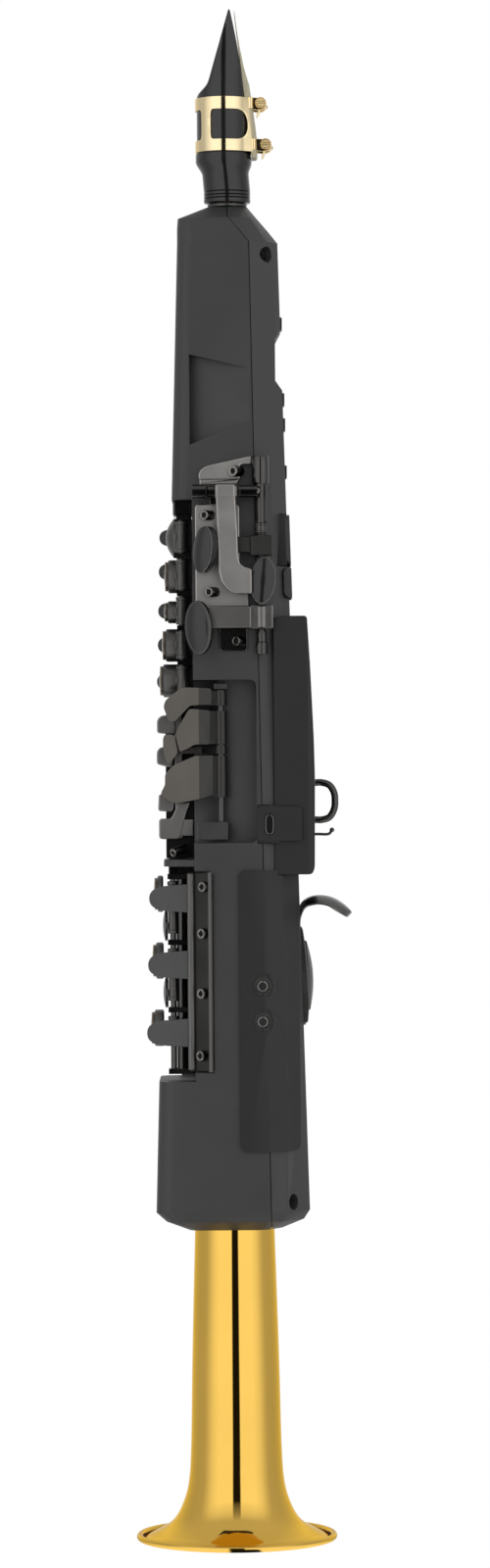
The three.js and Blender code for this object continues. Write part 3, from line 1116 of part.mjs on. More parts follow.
function makeRightStack() {
  const s = rightStack;
  const last = s.z.length - 1;
  const spans = s.z.map((z, at) => [
    at === last ? z - s.barrelDown : z - s.padDrop - s.barrelPad, z + s.barrelUp]);
  const between = spans.slice(1).map(([, high], at) => middle(high, spans[at][0]));
  const posts = [s.top - s.postThick * halfShare, ...between, s.low + s.postThick * halfShare];
  const rods = [bar([s.rodX, s.rodY, s.low], [s.rodX, s.rodY, s.top], s.rodRadius, facets.small),
    bar([s.secondX, s.secondY, s.low], [s.secondX, s.secondY, s.top], s.secondRadius, facets.small)];
  const feet = posts.map((z) => block(s.rodX - s.postHalf, stack.floor - fit.gap,
    s.secondY - s.secondRadius, s.railBack,
    z - s.postThick * halfShare, z + s.postThick * halfShare));
  add('right_hand_rod', join(...rods, ...feet, rail(s)), finishes.darkMetal);
  s.z.forEach((z, at) => {
    const tube = barrel(s.rodX, s.rodY, ...spans[at], s.barrelRadius, s.rodRadius);
    const front = s.front[at];
    const pieces = [bar([front, 0, z], [s.back, 0, z], s.radius, facets.medium),
      bar([front - s.pearlRise, 0, z], [front, 0, z], s.radius * s.pearlShare, facets.medium),
      block(s.armFront, s.armBack, s.rodY, 0, z - s.armHalf, z + s.armHalf)];
    if (at !== last) {
      const padZ = z - s.padDrop;
      pieces.push(bar([s.padFront, 0, padZ], [s.padBack, 0, padZ], s.padRadius, facets.medium));
      pieces.push(block(s.armFront, s.armBack, s.rodY, 0, padZ - s.armHalf, padZ + s.armHalf));
    }
    add(`right_hand_key_${at + 1}`, cut(join(...pieces, tube.body), tube.bore), finishes.touch);
  });
}

// The right hand guard lies on the casing's cut corner and turns forward into three fins.
function makeRightGuard() {
  const g = rightGuard;
  const off = (x, rise) => {
    const step = rise * Math.SQRT1_2;
    return [x - step, chamfer.frontY - (x - chamfer.frontX) - step];
  };
  const outerY = g.finInner - g.finThick;
  const section = [[g.rootX, outerY], [g.rootX, g.finInner],
    off(chamfer.frontX, fit.gap), off(g.endX, fit.gap),
    off(g.endX, fit.gap + g.plateThick), off(chamfer.frontX, fit.gap + g.plateThick)];
  const plate = slab(section, 'z', g.low, g.high);
  const fins = g.finZ.map((z, at) => fin(g.rootX + g.finThick * halfShare, g.finTip[at], z, g.finRootHalf,
    g.finTipRadius, outerY, g.finInner));
  const top = fit.gap + g.plateThick + g.screwRise;
  const heads = g.screwZ.map((z) => bar([...off(g.screwX, fit.gap), z], [...off(g.screwX, top), z],
    g.screwRadius, facets.small));
  const sockets = g.screwZ.map((z) => bar([...off(g.screwX, top - g.socketDepth), z],
    [...off(g.screwX, top + fit.overrun), z], g.socketRadius, facets.socket));
  add('right_hand_guard', cut(join(plate, ...fins, ...heads), ...sockets), finishes.darkMetal);
}

function makeFarKeys() {
  const f = farRod;
  const rod = bar([f.x, f.y, f.low], [f.x, f.y, f.high], f.radius, facets.small);
  const ends = [f.low, f.high - f.postThick].map((low) => low + f.postThick * halfShare);
  const posts = [...ends, ...f.middlePosts].map((z) => block(f.x - f.postHalf, f.x + f.postHalf,
    0, f.y + f.postHalf, z - f.postThick * halfShare, z + f.postThick * halfShare));
  add('far_side_rod', cut(join(rod, ...posts), casing(fit.gap)), finishes.darkMetal);
  const rows = [['side_key', sideKeys], ['low_key', lowKeys]].flatMap(([name, k]) => Array.from(
    { length: k.count }, (_, at) => [`${name}_${at + 1}`, k, k.top - k.pitch * at]));
  rows.forEach(([name, k, z]) => {
    const tube = barrel(f.x, f.y, z - k.barrelHalf, z + k.barrelHalf, f.barrelRadius, f.radius);
    const tall = k.tall * halfShare;
    const touch = slab(rounded([[k.left, z - tall], [k.right, z - tall], [k.right, z + tall],
      [k.left, z + tall]], k.edgeRadius), 'y', k.inner, k.inner + k.thick);
    const arm = block(k.right - k.thick, f.x, k.inner, k.inner + k.thick, z - k.armHalf, z + k.armHalf);
    add(name, cut(join(touch, arm, tube.body), tube.bore), finishes.darkMetal);
  });
}

function makeElectronics() {
  const b = board;
  const plate = block(b.x, b.x + b.thick, -b.half, b.half, b.low, b.high);
  const chip = block(b.x - b.chipRise, b.x, -b.chipHalf, b.chipHalf, b.chipLow, b.chipHigh);
  add('main_board', join(plate, chip), finishes.board);
  const s = speaker;
  add('speaker', turned([[0, s.low + s.coneDepth], [s.coneInner, s.low + s.coneDepth], [s.coneMouth, s.low],
    [s.radius, s.low], [s.radius, s.low + s.flange], [s.coneRadius, s.low + s.flange],
    [s.magnetRadius, s.coneTop], [s.magnetRadius, s.magnetTop], [0, s.magnetTop]], facets.round),
  finishes.steel);
}

makeShells();
makeShellScrews();
makeMouthpiece();
makeReed();
makeLigature();
makeLigatureScrews();
makeNeck();
makeBell();
makeHousing();
makePort();
makeStrapRing();
makeCordHook();
makeControls();
makeThumbPieces();
makeThumbHook();
makeSidePanel();
makePalmPlate();
makePalmRod();
makePalmLever();
makePalmTouchKeys();
makeLeftStack();
makeLeftGuard();
makeTableKeys();
makeComb();
makeRightStack();
makeRightGuard();
makeFarKeys();
makeElectronics();

export default instrument;
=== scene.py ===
"""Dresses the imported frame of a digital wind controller: surfaces, finishes, studio and camera.

Lengths in the tables are millimetres and are turned into metres by MM. Places across the casing
are measured from the bell's axis, as the part's own drawing measures them. The front, where the
fingers play, is -X, and the player's left side, which the camera sees, is -Y.
"""

import json
import math

import bmesh
import bpy
import numpy as np
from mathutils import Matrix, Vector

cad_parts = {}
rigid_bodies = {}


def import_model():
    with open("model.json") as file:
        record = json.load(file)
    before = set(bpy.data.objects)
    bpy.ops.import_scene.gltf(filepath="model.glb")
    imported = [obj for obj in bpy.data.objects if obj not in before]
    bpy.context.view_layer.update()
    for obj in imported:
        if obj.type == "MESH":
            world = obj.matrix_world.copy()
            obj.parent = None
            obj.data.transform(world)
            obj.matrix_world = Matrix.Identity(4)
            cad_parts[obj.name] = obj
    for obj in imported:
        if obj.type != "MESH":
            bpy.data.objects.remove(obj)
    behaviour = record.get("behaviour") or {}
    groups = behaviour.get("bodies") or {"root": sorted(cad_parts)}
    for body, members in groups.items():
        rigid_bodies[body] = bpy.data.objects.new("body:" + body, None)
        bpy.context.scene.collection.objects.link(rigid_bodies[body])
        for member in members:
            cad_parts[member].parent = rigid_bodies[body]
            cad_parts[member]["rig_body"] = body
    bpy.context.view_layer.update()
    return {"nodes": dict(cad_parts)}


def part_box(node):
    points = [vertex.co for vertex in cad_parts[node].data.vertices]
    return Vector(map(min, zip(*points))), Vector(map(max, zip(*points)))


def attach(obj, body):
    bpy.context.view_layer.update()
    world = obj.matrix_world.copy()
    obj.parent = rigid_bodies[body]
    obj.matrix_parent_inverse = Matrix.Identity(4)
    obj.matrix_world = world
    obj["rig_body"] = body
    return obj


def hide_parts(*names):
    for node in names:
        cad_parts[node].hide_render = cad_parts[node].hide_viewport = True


bl_info = {
    "name": "Digital Wind Controller",
    "version": (1, 0, 0),
    "blender": (4, 5, 0),
    "location": "View3D > Sidebar > Wind Controller",
    "description": "Builds the visible pieces and finishes of a digital wind controller",
    "category": "Object",
}

MM = 0.001
AXIS_X = -4.0

# Points nearer than this, in metres, are merged.
WELD = 2e-6

# The axes of a plate that faces the player's left: along the outline's two values, and outwards.
SIDE = ((1, 0, 0), (0, 0, 1), (0, -1, 0))

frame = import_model()


# Properties that a user would change.


def length(label, text, value):
    """A length property whose default is given in millimetres."""
    return bpy.props.FloatProperty(
        name=label, description=text, default=value * MM, unit="LENGTH", precision=5, step=0.01
    )


def colour(label, text, value):
    """A linear colour property."""
    return bpy.props.FloatVectorProperty(
        name=label, description=text, default=value, subtype="COLOR", size=3, min=0.0, max=1.0
    )


class MouthSizes(bpy.types.PropertyGroup):
    """Sizes of the mouthpiece, its reed and its ligature."""

    low: length("Lower end", "Height of the mouthpiece's lower end", 611.5)
    tip: length("Tip", "Height of the mouthpiece's tip", 700.0)
    shank: length("Shank radius", "Radius of the shank below the collar", 10.65)
    barrel: length("Collar radius", "Radius of the collar under the ligature", 12.85)
    bore: length("Bore radius", "Radius of the hole that takes the neck's cork", 8.0)
    band_low: length("Ligature low", "Height of the ligature's lower edge", 634.7)
    band_high: length("Ligature high", "Height of the ligature's upper edge", 659.3)
    band_thick: length("Ligature thickness", "Thickness of the ligature's sheet", 0.6)


class BellSizes(bpy.types.PropertyGroup):
    """Sizes of the turned bell."""

    tube: length("Tube radius", "Radius of the straight tube", 18.25)
    rim: length("Rim radius", "Outer radius of the rolled rim", 45.9)
    top: length("Top", "Height of the tube's upper end", 156.0)
    flare_top: length("Flare top", "Height at which the flare starts", 142.0)
    bead: length("Bead radius", "Radius of the rolled bead", 1.5)
    wall: length("Wall", "Thickness of the sheet", 0.9)


class EdgeSizes(bpy.types.PropertyGroup):
    """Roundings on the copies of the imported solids."""

    casing: length("Casing", "Rounding on the casing and its housing", 0.6)
    panel: length("Side panel", "Rounding on the lower side panel", 1.1)
    strip: length("Control strip", "Rounding on the control strip", 0.4)
    button: length("Buttons", "Rounding on the control strip's buttons", 0.5)
    thumb: length("Thumb pieces", "Rounding on the octave key and the thumb rest", 0.8)
    table: length("Table keys", "Rounding on the table keys and their bracket", 0.8)
    far: length("Far side", "Rounding on the far side's rod and keys", 0.5)
    rod: length("Rods", "Rounding on the stack keys' rods and posts", 0.3)
    cell: length("Cells", "Rounding on the battery cells", 0.3)


class Colours(bpy.types.PropertyGroup):
    """Linear base colours of the main finishes."""

    casing: colour("Casing", "Moulded casing", (0.043, 0.043, 0.044))
    trim: colour("Trim", "Housing, panels and strips", (0.009, 0.009, 0.0095))
    arm: colour("Palm key metal", "Palm key plate and arm", (0.39, 0.376, 0.362))
    keys: colour("Key metal", "Black nickel keywork", (0.26, 0.25, 0.24))
    table: colour("Table metal", "Table keys", (0.15, 0.139, 0.126))
    # Darker rod metal; also used as painted shade on the palm plate's low part and neck.
    dark_keys: colour("Dark key metal", "Darker, glossier rods and posts", (0.085, 0.083, 0.081))
    cups: colour("Cups", "Stack keys' cups", (0.10, 0.098, 0.095))
    guard: colour("Guards", "Finger guards and their fins", (0.085, 0.085, 0.087))
    touch: colour("Touch pieces", "Pearls, buttons and thumb pieces", (0.014, 0.014, 0.015))
    lacquer: colour("Bell lacquer", "Gold lacquered brass", (0.84, 0.53, 0.11))
    ligature: colour("Ligature", "Pale satin brass", (0.94, 0.78, 0.48))
    rubber: colour("Hard rubber", "Mouthpiece", (0.012, 0.012, 0.013))
    cane: colour("Cane", "Reed", (0.60, 0.54, 0.38))
    lever: colour("Lever metal", "Third palm key's lever", (0.2, 0.195, 0.19))
    # Dark plate metal; also painted shade on the back faces of the table keys and on the second palm key.
    plate: colour("Plate metal", "Right-hand guard's plate", (0.055, 0.054, 0.052))
    rail: colour("Rail metal", "Right-hand guard's rail", (0.17, 0.165, 0.16))
    rings: colour("Pearl rings", "Bands round the pearls", (0.34, 0.28, 0.2))
    # Brighter screw metal: on the rings of the screw heads it is a painted highlight. The palm rod's pin
    # uses it too.
    screws: colour("Screw metal", "Rings on the screw heads", (0.3, 0.29, 0.275))
    hook: colour("Hook metal", "Thumb hook, jacks and USB port", (0.15, 0.148, 0.145))
    dark_steel: colour("Dark steel", "Neck ring, collar, bracket and posts", (0.09, 0.09, 0.092))
    screw_brass: colour("Screw brass", "Ligature screws", (0.94, 0.74, 0.4))
    cell: colour("Cell sleeve", "Battery cells", (0.36, 0.42, 0.5))
    # Painted shade: a near-black that stands in for the shade inside holes, gaps, grooves and notches.
    hollow: colour("Hollows", "Insides of holes and gaps", (0.003, 0.003, 0.003))
    cork: colour("Cork", "Neck cork", (0.42, 0.27, 0.15))
    board: colour("Board", "Circuit board", (0.03, 0.16, 0.07))


class StageSizes(bpy.types.PropertyGroup):
    """The camera's place and the floor."""

    distance: bpy.props.FloatProperty(
        name="Distance", description="Camera distance from the instrument", default=2.4, unit="LENGTH"
    )
    side: length("Sideways", "Camera place along X", 2.2)
    height: length("Height", "Camera height", 345.7)
    roll: bpy.props.FloatProperty(
        name="Roll", description="Turn of the camera about its view",
        default=math.radians(0.433), subtype="ANGLE"
    )
    lens: bpy.props.FloatProperty(name="Lens", description="Focal length in mm", default=120.27)
    floor: bpy.props.FloatProperty(
        name="Floor", description="Half the floor's width", default=12.0, unit="LENGTH"
    )


GROUPS = {
    "wind_mouth": MouthSizes,
    "wind_bell": BellSizes,
    "wind_edges": EdgeSizes,
    "wind_colours": Colours,
    "wind_stage": StageSizes,
}


# Surfaces. A part is a pair of arrays: points in millimetres from the bell's axis, and faces.


def grid_faces(rows, columns, wrap=True):
    """Quads between neighbouring rows and columns of points counted row by row."""
    row = np.arange(rows - 1)[:, None] * columns
    column = np.arange(columns if wrap else columns - 1)[None, :]
    after = (column + 1) % columns
    corners = [row + column, row + after, row + columns + after, row + columns + column]
    return np.stack([corner + 0 * row for corner in corners], axis=-1).reshape(-1, 4)


def skin(rings, caps=True):
    """A closed skin over rings of equal point counts, rows by columns by three, with its first and
    last rings filled as flat faces."""
    rings = np.asarray(rings, float)
    rows, columns = rings.shape[:2]
    faces = grid_faces(rows, columns).tolist()
    if caps:
        faces.append(list(range(columns))[::-1])
        faces.append(list(range((rows - 1) * columns, rows * columns)))
    return rings.reshape(-1, 3), faces


def basis(axis):
    """Two unit vectors across an axis, and the axis itself, right handed."""
    axis = np.asarray(axis, float) / np.linalg.norm(axis)
    helper = np.array([0.0, 0.0, 1.0]) if abs(axis[2]) < 0.9 else np.array([1.0, 0.0, 0.0])
    across = np.cross(helper, axis)
    across /= np.linalg.norm(across)
    return across, np.cross(axis, across), axis


def turned(profile, centre, axis=(0, 0, 1), columns=48, sides=0):
    """A profile of radius and height turned about an axis through the centre. With sides, a row
    whose radius is negative becomes a polygon: its radius is divided by the cosine of the angle
    from the nearest side's middle."""
    profile = np.asarray(profile, float)
    u, v, w = basis(axis)
    angle = np.arange(columns) * 2 * math.pi / columns
    radius = np.abs(profile[:, :1]) * np.ones(columns)
    if sides:
        step = 2 * math.pi / sides
        corner = 1 / np.cos((angle % step) - step / 2)
        radius = np.where(profile[:, :1] < 0, radius * corner, radius)
    rings = (
        np.asarray(centre, float)
        + radius[..., None] * (np.cos(angle)[:, None] * u + np.sin(angle)[:, None] * v)
        + profile[:, 1][:, None, None] * w
    )
    return skin(rings)


def turned_ring(profile, columns):
    """A closed profile of radius and height turned about the bell's axis."""
    points = turned(profile, (0, 0, 0), columns=columns)[0]
    faces = grid_faces(len(profile) + 1, columns) % len(points)
    return points, faces.tolist()


def arc(centre, radius, start, end, steps):
    """Points on a circle between two angles given in degrees."""
    angle = np.radians(np.linspace(start, end, steps + 1))
    return np.stack([centre[0] + radius * np.cos(angle), centre[1] + radius * np.sin(angle)], axis=-1)


def quarters(steps, lead):
    """Round a rectangle: each point's corner signs, its place on a unit circle at that corner, and
    its shift along the side. Each quarter turn starts and ends with a point shifted by the lead,
    which keeps the flat sides' shading level."""
    quarter = np.linspace(0, math.pi / 2, steps + 1)
    quarter = np.concatenate([[0], quarter, [math.pi / 2]])
    around = np.concatenate([quarter + turn * math.pi / 2 for turn in range(4)])
    signs = np.repeat([[1, -1, -1, 1], [1, 1, -1, -1]], steps + 3, axis=1)
    circle = np.stack([np.cos(around), np.sin(around)])
    held = np.tile(np.concatenate([[lead], np.zeros(steps + 1), [lead]]), 4)
    return signs, circle, -signs * held * (np.abs(circle) < 0.5)


def rounded_box(low, high, radius, steps=4):
    """A box with rounded edges: a ball of the edge radius whose eighths are moved apart until they
    touch the box's sides."""
    low, high = np.asarray(low, float), np.asarray(high, float)
    core = (high - low) / 2 - radius
    lead = min(0.15, 0.4 * core.min())
    signs, circle, shift = quarters(steps, lead)
    quarter = np.linspace(0, math.pi / 2, steps + 1)
    up = np.concatenate([[-math.pi / 2], quarter - math.pi / 2, [0, 0], quarter, [math.pi / 2]])
    level = core[2] * np.repeat([-1.0, 1.0], steps + 3)
    level[steps + 2] += lead
    level[steps + 3] -= lead
    drawn = np.zeros(len(up))
    drawn[[0, -1]] = lead
    x, y = (
        signs[k] * (core[k] - drawn[:, None]) + shift[k] + radius * np.cos(up)[:, None] * circle[k]
        for k in (0, 1)
    )
    z = (level + radius * np.sin(up))[:, None] + 0 * x
    return skin(np.stack([x, y, z], axis=-1) + (low + high) / 2)


def rounded_outline(points, radius, steps=5):
    """A polygon whose corners are quadratic curves that start the radius, or less, from each
    corner. Each point may give its own radius as a third value."""
    given = [(*point[:2], point[2] if len(point) > 2 else radius) for point in points]
    corner = np.array([point[:2] for point in given], float)
    reach = np.array([point[2] for point in given], float)
    before, after = np.roll(corner, 1, axis=0), np.roll(corner, -1, axis=0)
    to_before = np.linalg.norm(before - corner, axis=1)
    to_after = np.linalg.norm(after - corner, axis=1)
    start = corner + (before - corner) * np.minimum(reach / to_before, 0.5)[:, None]
    end = corner + (after - corner) * np.minimum(reach / to_after, 0.5)[:, None]
    t = np.linspace(0, 1, steps + 1)[None, :, None]
    curve = start[:, None] * (1 - t) ** 2 + corner[:, None] * 2 * t * (1 - t) + end[:, None] * t**2
    return curve.reshape(-1, 2)


def ellipse(half_u, half_v, lean=0.0, columns=48, power=2.0):
    """A superellipse leaned by an angle in degrees."""
    angle = np.arange(columns) * 2 * math.pi / columns
    c, s = np.cos(angle), np.sin(angle)
    u = half_u * np.sign(c) * np.abs(c) ** (2 / power)
    v = half_v * np.sign(s) * np.abs(s) ** (2 / power)
    turn = math.radians(lean)
    cos, sin = math.cos(turn), math.sin(turn)
    return np.stack([u * cos - v * sin, u * sin + v * cos], axis=-1)


def inset(outline, amount):
    """An outline moved inwards along its own normals."""
    way = np.roll(outline, -1, axis=0) - np.roll(outline, 1, axis=0)
    way /= np.maximum(np.linalg.norm(way, axis=1, keepdims=True), 1e-9)
    area = np.sum(outline[:, 0] * np.roll(outline[:, 1], -1) - np.roll(outline[:, 0], -1) * outline[:, 1])
    normal = np.stack([-way[:, 1], way[:, 0]], axis=-1) * (1 if area > 0 else -1)
    return outline + normal * amount


def plate(outline, levels, origin, u, v, n):
    """An outline stacked at levels of inset and height, on the axes u and v and raised along n."""
    u, v, n = (np.asarray(axis, float) for axis in (u, v, n))
    rings = [
        np.asarray(origin, float) + flat[:, :1] * u + flat[:, 1:] * v + height * n
        for flat, height in ((inset(outline, amount), height) for amount, height in levels)
    ]
    return skin(rings)


def soft_levels(low, high, edge, steps=3):
    """Levels of a plate whose two rims are rounded by quarter circles. A ring just inside each rim
    keeps the faces' shading level."""
    quarter = np.linspace(0, math.pi / 2, steps + 1)
    foot = np.stack([edge * (1 - np.sin(quarter)), low + edge * (1 - np.cos(quarter))], axis=-1)
    head = np.stack([edge * (1 - np.cos(quarter)), high - edge * (1 - np.sin(quarter))], axis=-1)
    return np.concatenate([[(edge + 0.12, low)], foot, head, [(edge + 0.12, high)]])


def cushion(half_u, half_v, low, high, edge, rise, origin, u, v, n, lean=0.0, power=2.0, columns=64,
            ribs=None):
    """An oval pad with rounded rims and a crowned face: past the rim the oval shrinks to a point
    while its height grows as a parabola of the shrinking. Ribs, a count and a depth, are waves
    round its side that fade towards the middle."""
    rim = soft_levels(low, high, edge, 4)[:-1]
    share = np.cos(np.linspace(0, math.pi / 2, 9))[1:-1]
    rows = [(half_u - amount, half_v - amount, height) for amount, height in rim]
    rows += [((half_u - edge) * s, (half_v - edge) * s, high + rise * (1 - s**2)) for s in share]
    u, v, n = (np.asarray(axis, float) for axis in (u, v, n))
    wave = np.cos(np.arange(columns) * 2 * math.pi * (ribs[0] if ribs else 0) / columns)
    rings = []
    for size_u, size_v, height in rows:
        flat = ellipse(size_u, size_v, lean, columns, power)
        if ribs:
            flat = flat * (1 - ribs[1] / half_u * (size_u / half_u) ** 6 * wave)[:, None]
        rings.append(np.asarray(origin, float) + flat[:, :1] * u + flat[:, 1:] * v + height * n)
    return skin(rings)


def bolt(place, aim, radius, low, high, key=1.2):
    """A socket-head screw from a low to a high level along its aim, as three parts: its body, the
    ring on its head, and the six-sided hole whose half width is the key."""
    rim = radius - 0.12
    body = [(radius - 0.2, low), (radius, low + 0.2), (radius, high - 0.5), (rim + 0.05, high - 0.3),
            (rim, high - 0.4)]
    ring = [(rim, high - 0.6), (rim, high - 0.15), (rim - 0.15, high), (key + 0.45, high),
            (key + 0.25, high - 0.2)]
    hole = [(-key - 0.1, high - 0.4), (-key - 0.1, high - 0.12)]
    return [turned(rows, place, aim, 48, 6) for rows in (body, ring, hole)]


def smooth_path(points, count):
    """Evenly spaced points on a Catmull-Rom curve through the points."""
    points = np.asarray(points, float)
    held = np.concatenate([[2 * points[0] - points[1]], points, [2 * points[-1] - points[-2]]])
    t = np.linspace(0, 1, 24, endpoint=False)[None, :, None]
    a, b, c, d = (held[k : len(held) - 3 + k][:, None] for k in range(4))
    curve = 0.5 * (
        2 * b + (c - a) * t + (2 * a - 5 * b + 4 * c - d) * t**2 + (3 * b - a - 3 * c + d) * t**3
    )
    curve = np.concatenate([curve.reshape(-1, points.shape[1]), points[-1:]])
    run = np.concatenate([[0], np.cumsum(np.linalg.norm(np.diff(curve, axis=0), axis=1))])
    even = np.linspace(0, run[-1], count)
    return np.stack([np.interp(even, run, curve[:, k]) for k in range(points.shape[1])], axis=-1)


def swept(path, section):
    """A section of across and sideways offsets, one for all or one for each point, carried along a
    path in X and Z. Across lies in the path's own plane, at right angles to it, and sideways is
    along Y."""
    path = np.asarray(path, float)
    way = np.gradient(path, axis=0)
    way /= np.linalg.norm(way, axis=1, keepdims=True)
    across = np.stack([-way[:, 1], 0 * way[:, 0], way[:, 0]], axis=-1)
    centre = np.stack([path[:, 0], 0 * path[:, 0], path[:, 1]], axis=-1)
    section = np.broadcast_to(section, (len(path), *np.shape(section)[-2:]))
    over = np.array([0.0, 1.0, 0.0]) * section[..., 1:]
    rings = centre[:, None] + across[:, None] * section[..., :1] + over
    return skin(rings)


def slats(z, left, right, front, back, edge, steps=4):
    """A solid stacked from level slats: rectangles with rounded corners whose sides, front and back
    are given at each height. The lowest and highest slats are drawn in."""
    signs, circle, shift = quarters(steps, 0.15)
    draw = edge * (1 - np.sqrt(1 - np.clip(1 - np.minimum(z - z[0], z[-1] - z) / edge, 0, 1) ** 2))[:, None]
    half_x, half_y = (right - left)[:, None] / 2 - edge, (back - front)[:, None] / 2 - edge
    half_x, half_y = np.maximum(half_x, 0.05), np.maximum(half_y, 0.02)
    x = (right + left)[:, None] / 2 + signs[0] * half_x + shift[0] + (edge - draw) * circle[0]
    y = (front + back)[:, None] / 2 + signs[1] * half_y + shift[1] + (edge - draw) * circle[1]
    return skin(np.stack([x, y, z[:, None] + 0 * x], axis=-1))


# Objects.


def body_of(node):
    """The body that carries a CAD node."""
    return frame["nodes"][node]["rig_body"]


def node_span(node, axis):
    """A CAD node's lowest and highest place along an axis, in millimetres from the bell's axis."""
    low, high = (corner[axis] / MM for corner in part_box(node))
    shift = AXIS_X if axis == 0 else 0
    return low - shift, high - shift


def finish_mesh(mesh, crease):
    """Merges doubles, closes poles, turns the faces outwards and keeps edges over the crease sharp."""
    work = bmesh.new()
    work.from_mesh(mesh)
    bmesh.ops.remove_doubles(work, verts=work.verts, dist=WELD)
    bmesh.ops.dissolve_degenerate(work, edges=work.edges, dist=1e-7)
    bmesh.ops.recalc_face_normals(work, faces=work.faces)
    work.to_mesh(mesh)
    work.free()
    mesh.shade_smooth()
    mesh.set_sharp_from_angle(angle=math.radians(crease))


def place(obj, body, slot, replaced):
    """Links a finished object, puts it on its body and hides the CAD nodes that it stands for. Its slot is
    not used.
    """
    bpy.context.scene.collection.objects.link(obj)
    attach(obj, body)
    if replaced:
        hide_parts(*replaced)


def build(name, parts, material, body, slot, replaced=(), crease=40.0):
    """Joins parts into one object that rides on a body."""
    points, faces, start = [], [], 0
    for part_points, part_faces in parts:
        points.append(part_points)
        faces += [[index + start for index in face] for face in part_faces]
        start += len(part_points)
    places = (np.concatenate(points) + (AXIS_X, 0, 0)) * MM
    mesh = bpy.data.meshes.new(name)
    mesh.from_pydata(places.tolist(), [], faces)
    finish_mesh(mesh, crease)
    mesh.materials.append(material)
    obj = bpy.data.objects.new(name, mesh)
    place(obj, body, slot, replaced)
    return obj


def build_bolts(name, bolts, body, slot):
    """Socket-head screws as three objects: dark bodies, rings on the heads in a brighter metal that is a
    painted highlight, and holes in near-black that is painted shade.
    """
    for at, (part, material) in enumerate((("body", "dark_keys"), ("ring", "screws"), ("hole", "hollow"))):
        build(f"{name}_{part}", [screw[at] for screw in bolts], finishes[material], body, slot)


def dress(node, material, slot, edge=None, crease=32.0):
    """A copy of a CAD node with its flat faces merged and its edges rounded."""
    mesh = frame["nodes"][node].data.copy()
    mesh.name = f"{node}_piece"
    mesh.materials.clear()
    mesh.materials.append(material)
    work = bmesh.new()
    work.from_mesh(mesh)
    bmesh.ops.remove_doubles(work, verts=work.verts, dist=WELD)
    flat = math.radians(0.6)
    bmesh.ops.dissolve_limit(work, angle_limit=flat, verts=work.verts, edges=work.edges)
    work.to_mesh(mesh)
    work.free()
    mesh.shade_smooth()
    mesh.set_sharp_from_angle(angle=math.radians(crease))
    obj = bpy.data.objects.new(mesh.name, mesh)
    if edge:
        bevel = obj.modifiers.new("Edges", "BEVEL")
        bevel.width = edge
        bevel.segments = 2
        bevel.limit_method = "ANGLE"
        bevel.angle_limit = math.radians(crease)
        bevel.harden_normals = True
        bevel.use_clamp_overlap = True
    place(obj, body_of(node), slot, [node])
    return obj


# Finishes.


def socket(nodes, kind, out=0, **inputs):
    """Adds a shader node, fills or links its inputs, and gives its output."""
    made = nodes.new(kind)
    for key, value in inputs.items():
        numbered = key.startswith("input")
        target = made.inputs[int(key[5:]) if numbered else key.replace("_", " ")]
        if isinstance(value, bpy.types.NodeSocket):
            made.id_data.links.new(value, target)
        else:
            target.default_value = value
    return made.outputs[out]


def math_node(nodes, operation, first, second=0.5):
    """A Math node's output."""
    out = socket(nodes, "ShaderNodeMath", input0=first, input1=second)
    out.node.operation = operation
    return out


def mixed(nodes, share, first, second):
    """A colour between two others."""
    mix = nodes.new("ShaderNodeMix")
    mix.data_type = "RGBA"
    for slot, value in ((0, share), (6, first), (7, second)):
        if isinstance(value, bpy.types.NodeSocket):
            mix.id_data.links.new(value, mix.inputs[slot])
        else:
            mix.inputs[slot].default_value = value
    return mix.outputs[2]


class Finish:
    """A material under work: its nodes, its shader, and Object coordinates."""

    def __init__(self, name, colour, metallic=0.0, **values):
        self.material = bpy.data.materials.new(name)
        self.material.use_nodes = True
        self.nodes = self.material.node_tree.nodes
        self.links = self.material.node_tree.links
        self.shader = self.nodes["Principled BSDF"]
        self.colour = tuple(colour)
        self.shader.inputs["Metallic"].default_value = metallic
        for key, value in values.items():
            self.shader.inputs[key.replace("_", " ")].default_value = value
        self.where = socket(self.nodes, "ShaderNodeTexCoord", 3)

    def noise(self, scale, detail=4.0, stretch=(1, 1, 1)):
        """Noise on Object coordinates, finer along the axes that are stretched more."""
        mapping = self.nodes.new("ShaderNodeMapping")
        mapping.inputs["Scale"].default_value = stretch
        self.links.new(self.where, mapping.inputs["Vector"])
        return socket(
            self.nodes, "ShaderNodeTexNoise", Vector=mapping.outputs[0], Scale=scale, Detail=detail
        )

    def spread(self, value, low, high, from_low=0.3, from_high=0.7):
        """A value brought from its usual range to a new one."""
        return socket(
            self.nodes, "ShaderNodeMapRange", Value=value, From_Min=from_low, From_Max=from_high,
            To_Min=low, To_Max=high,
        )

    def tint(self, value, dark, light):
        """Base colour between two multiples of the finish's colour, by a value."""
        low, high = ((*[min(part * level, 1) for part in self.colour], 1) for level in (dark, light))
        self.links.new(mixed(self.nodes, value, low, high), self.shader.inputs["Base Color"])

    def rough(self, value):
        self.links.new(value, self.shader.inputs["Roughness"])

    def bump(self, value, strength, height):
        """Relief of a height in millimetres."""
        normal = socket(
            self.nodes, "ShaderNodeBump", Strength=strength, Distance=height * MM, Height=value
        )
        self.links.new(normal, self.shader.inputs["Normal"])


def moulded(name, colour, rough_low, rough_high, grain, relief, specular):
    """Moulded plastic: fine spark-eroded grain, broad handling marks in the gloss."""
    made = Finish(name, colour, Specular_IOR_Level=specular)
    broad = made.noise(38, 5)
    fine = made.noise(grain, 2)
    made.tint(made.spread(broad, 0, 1), 0.93, 1.07)
    made.rough(made.spread(broad, rough_low, rough_high))
    made.bump(fine, 0.35, relief)
    return made.material


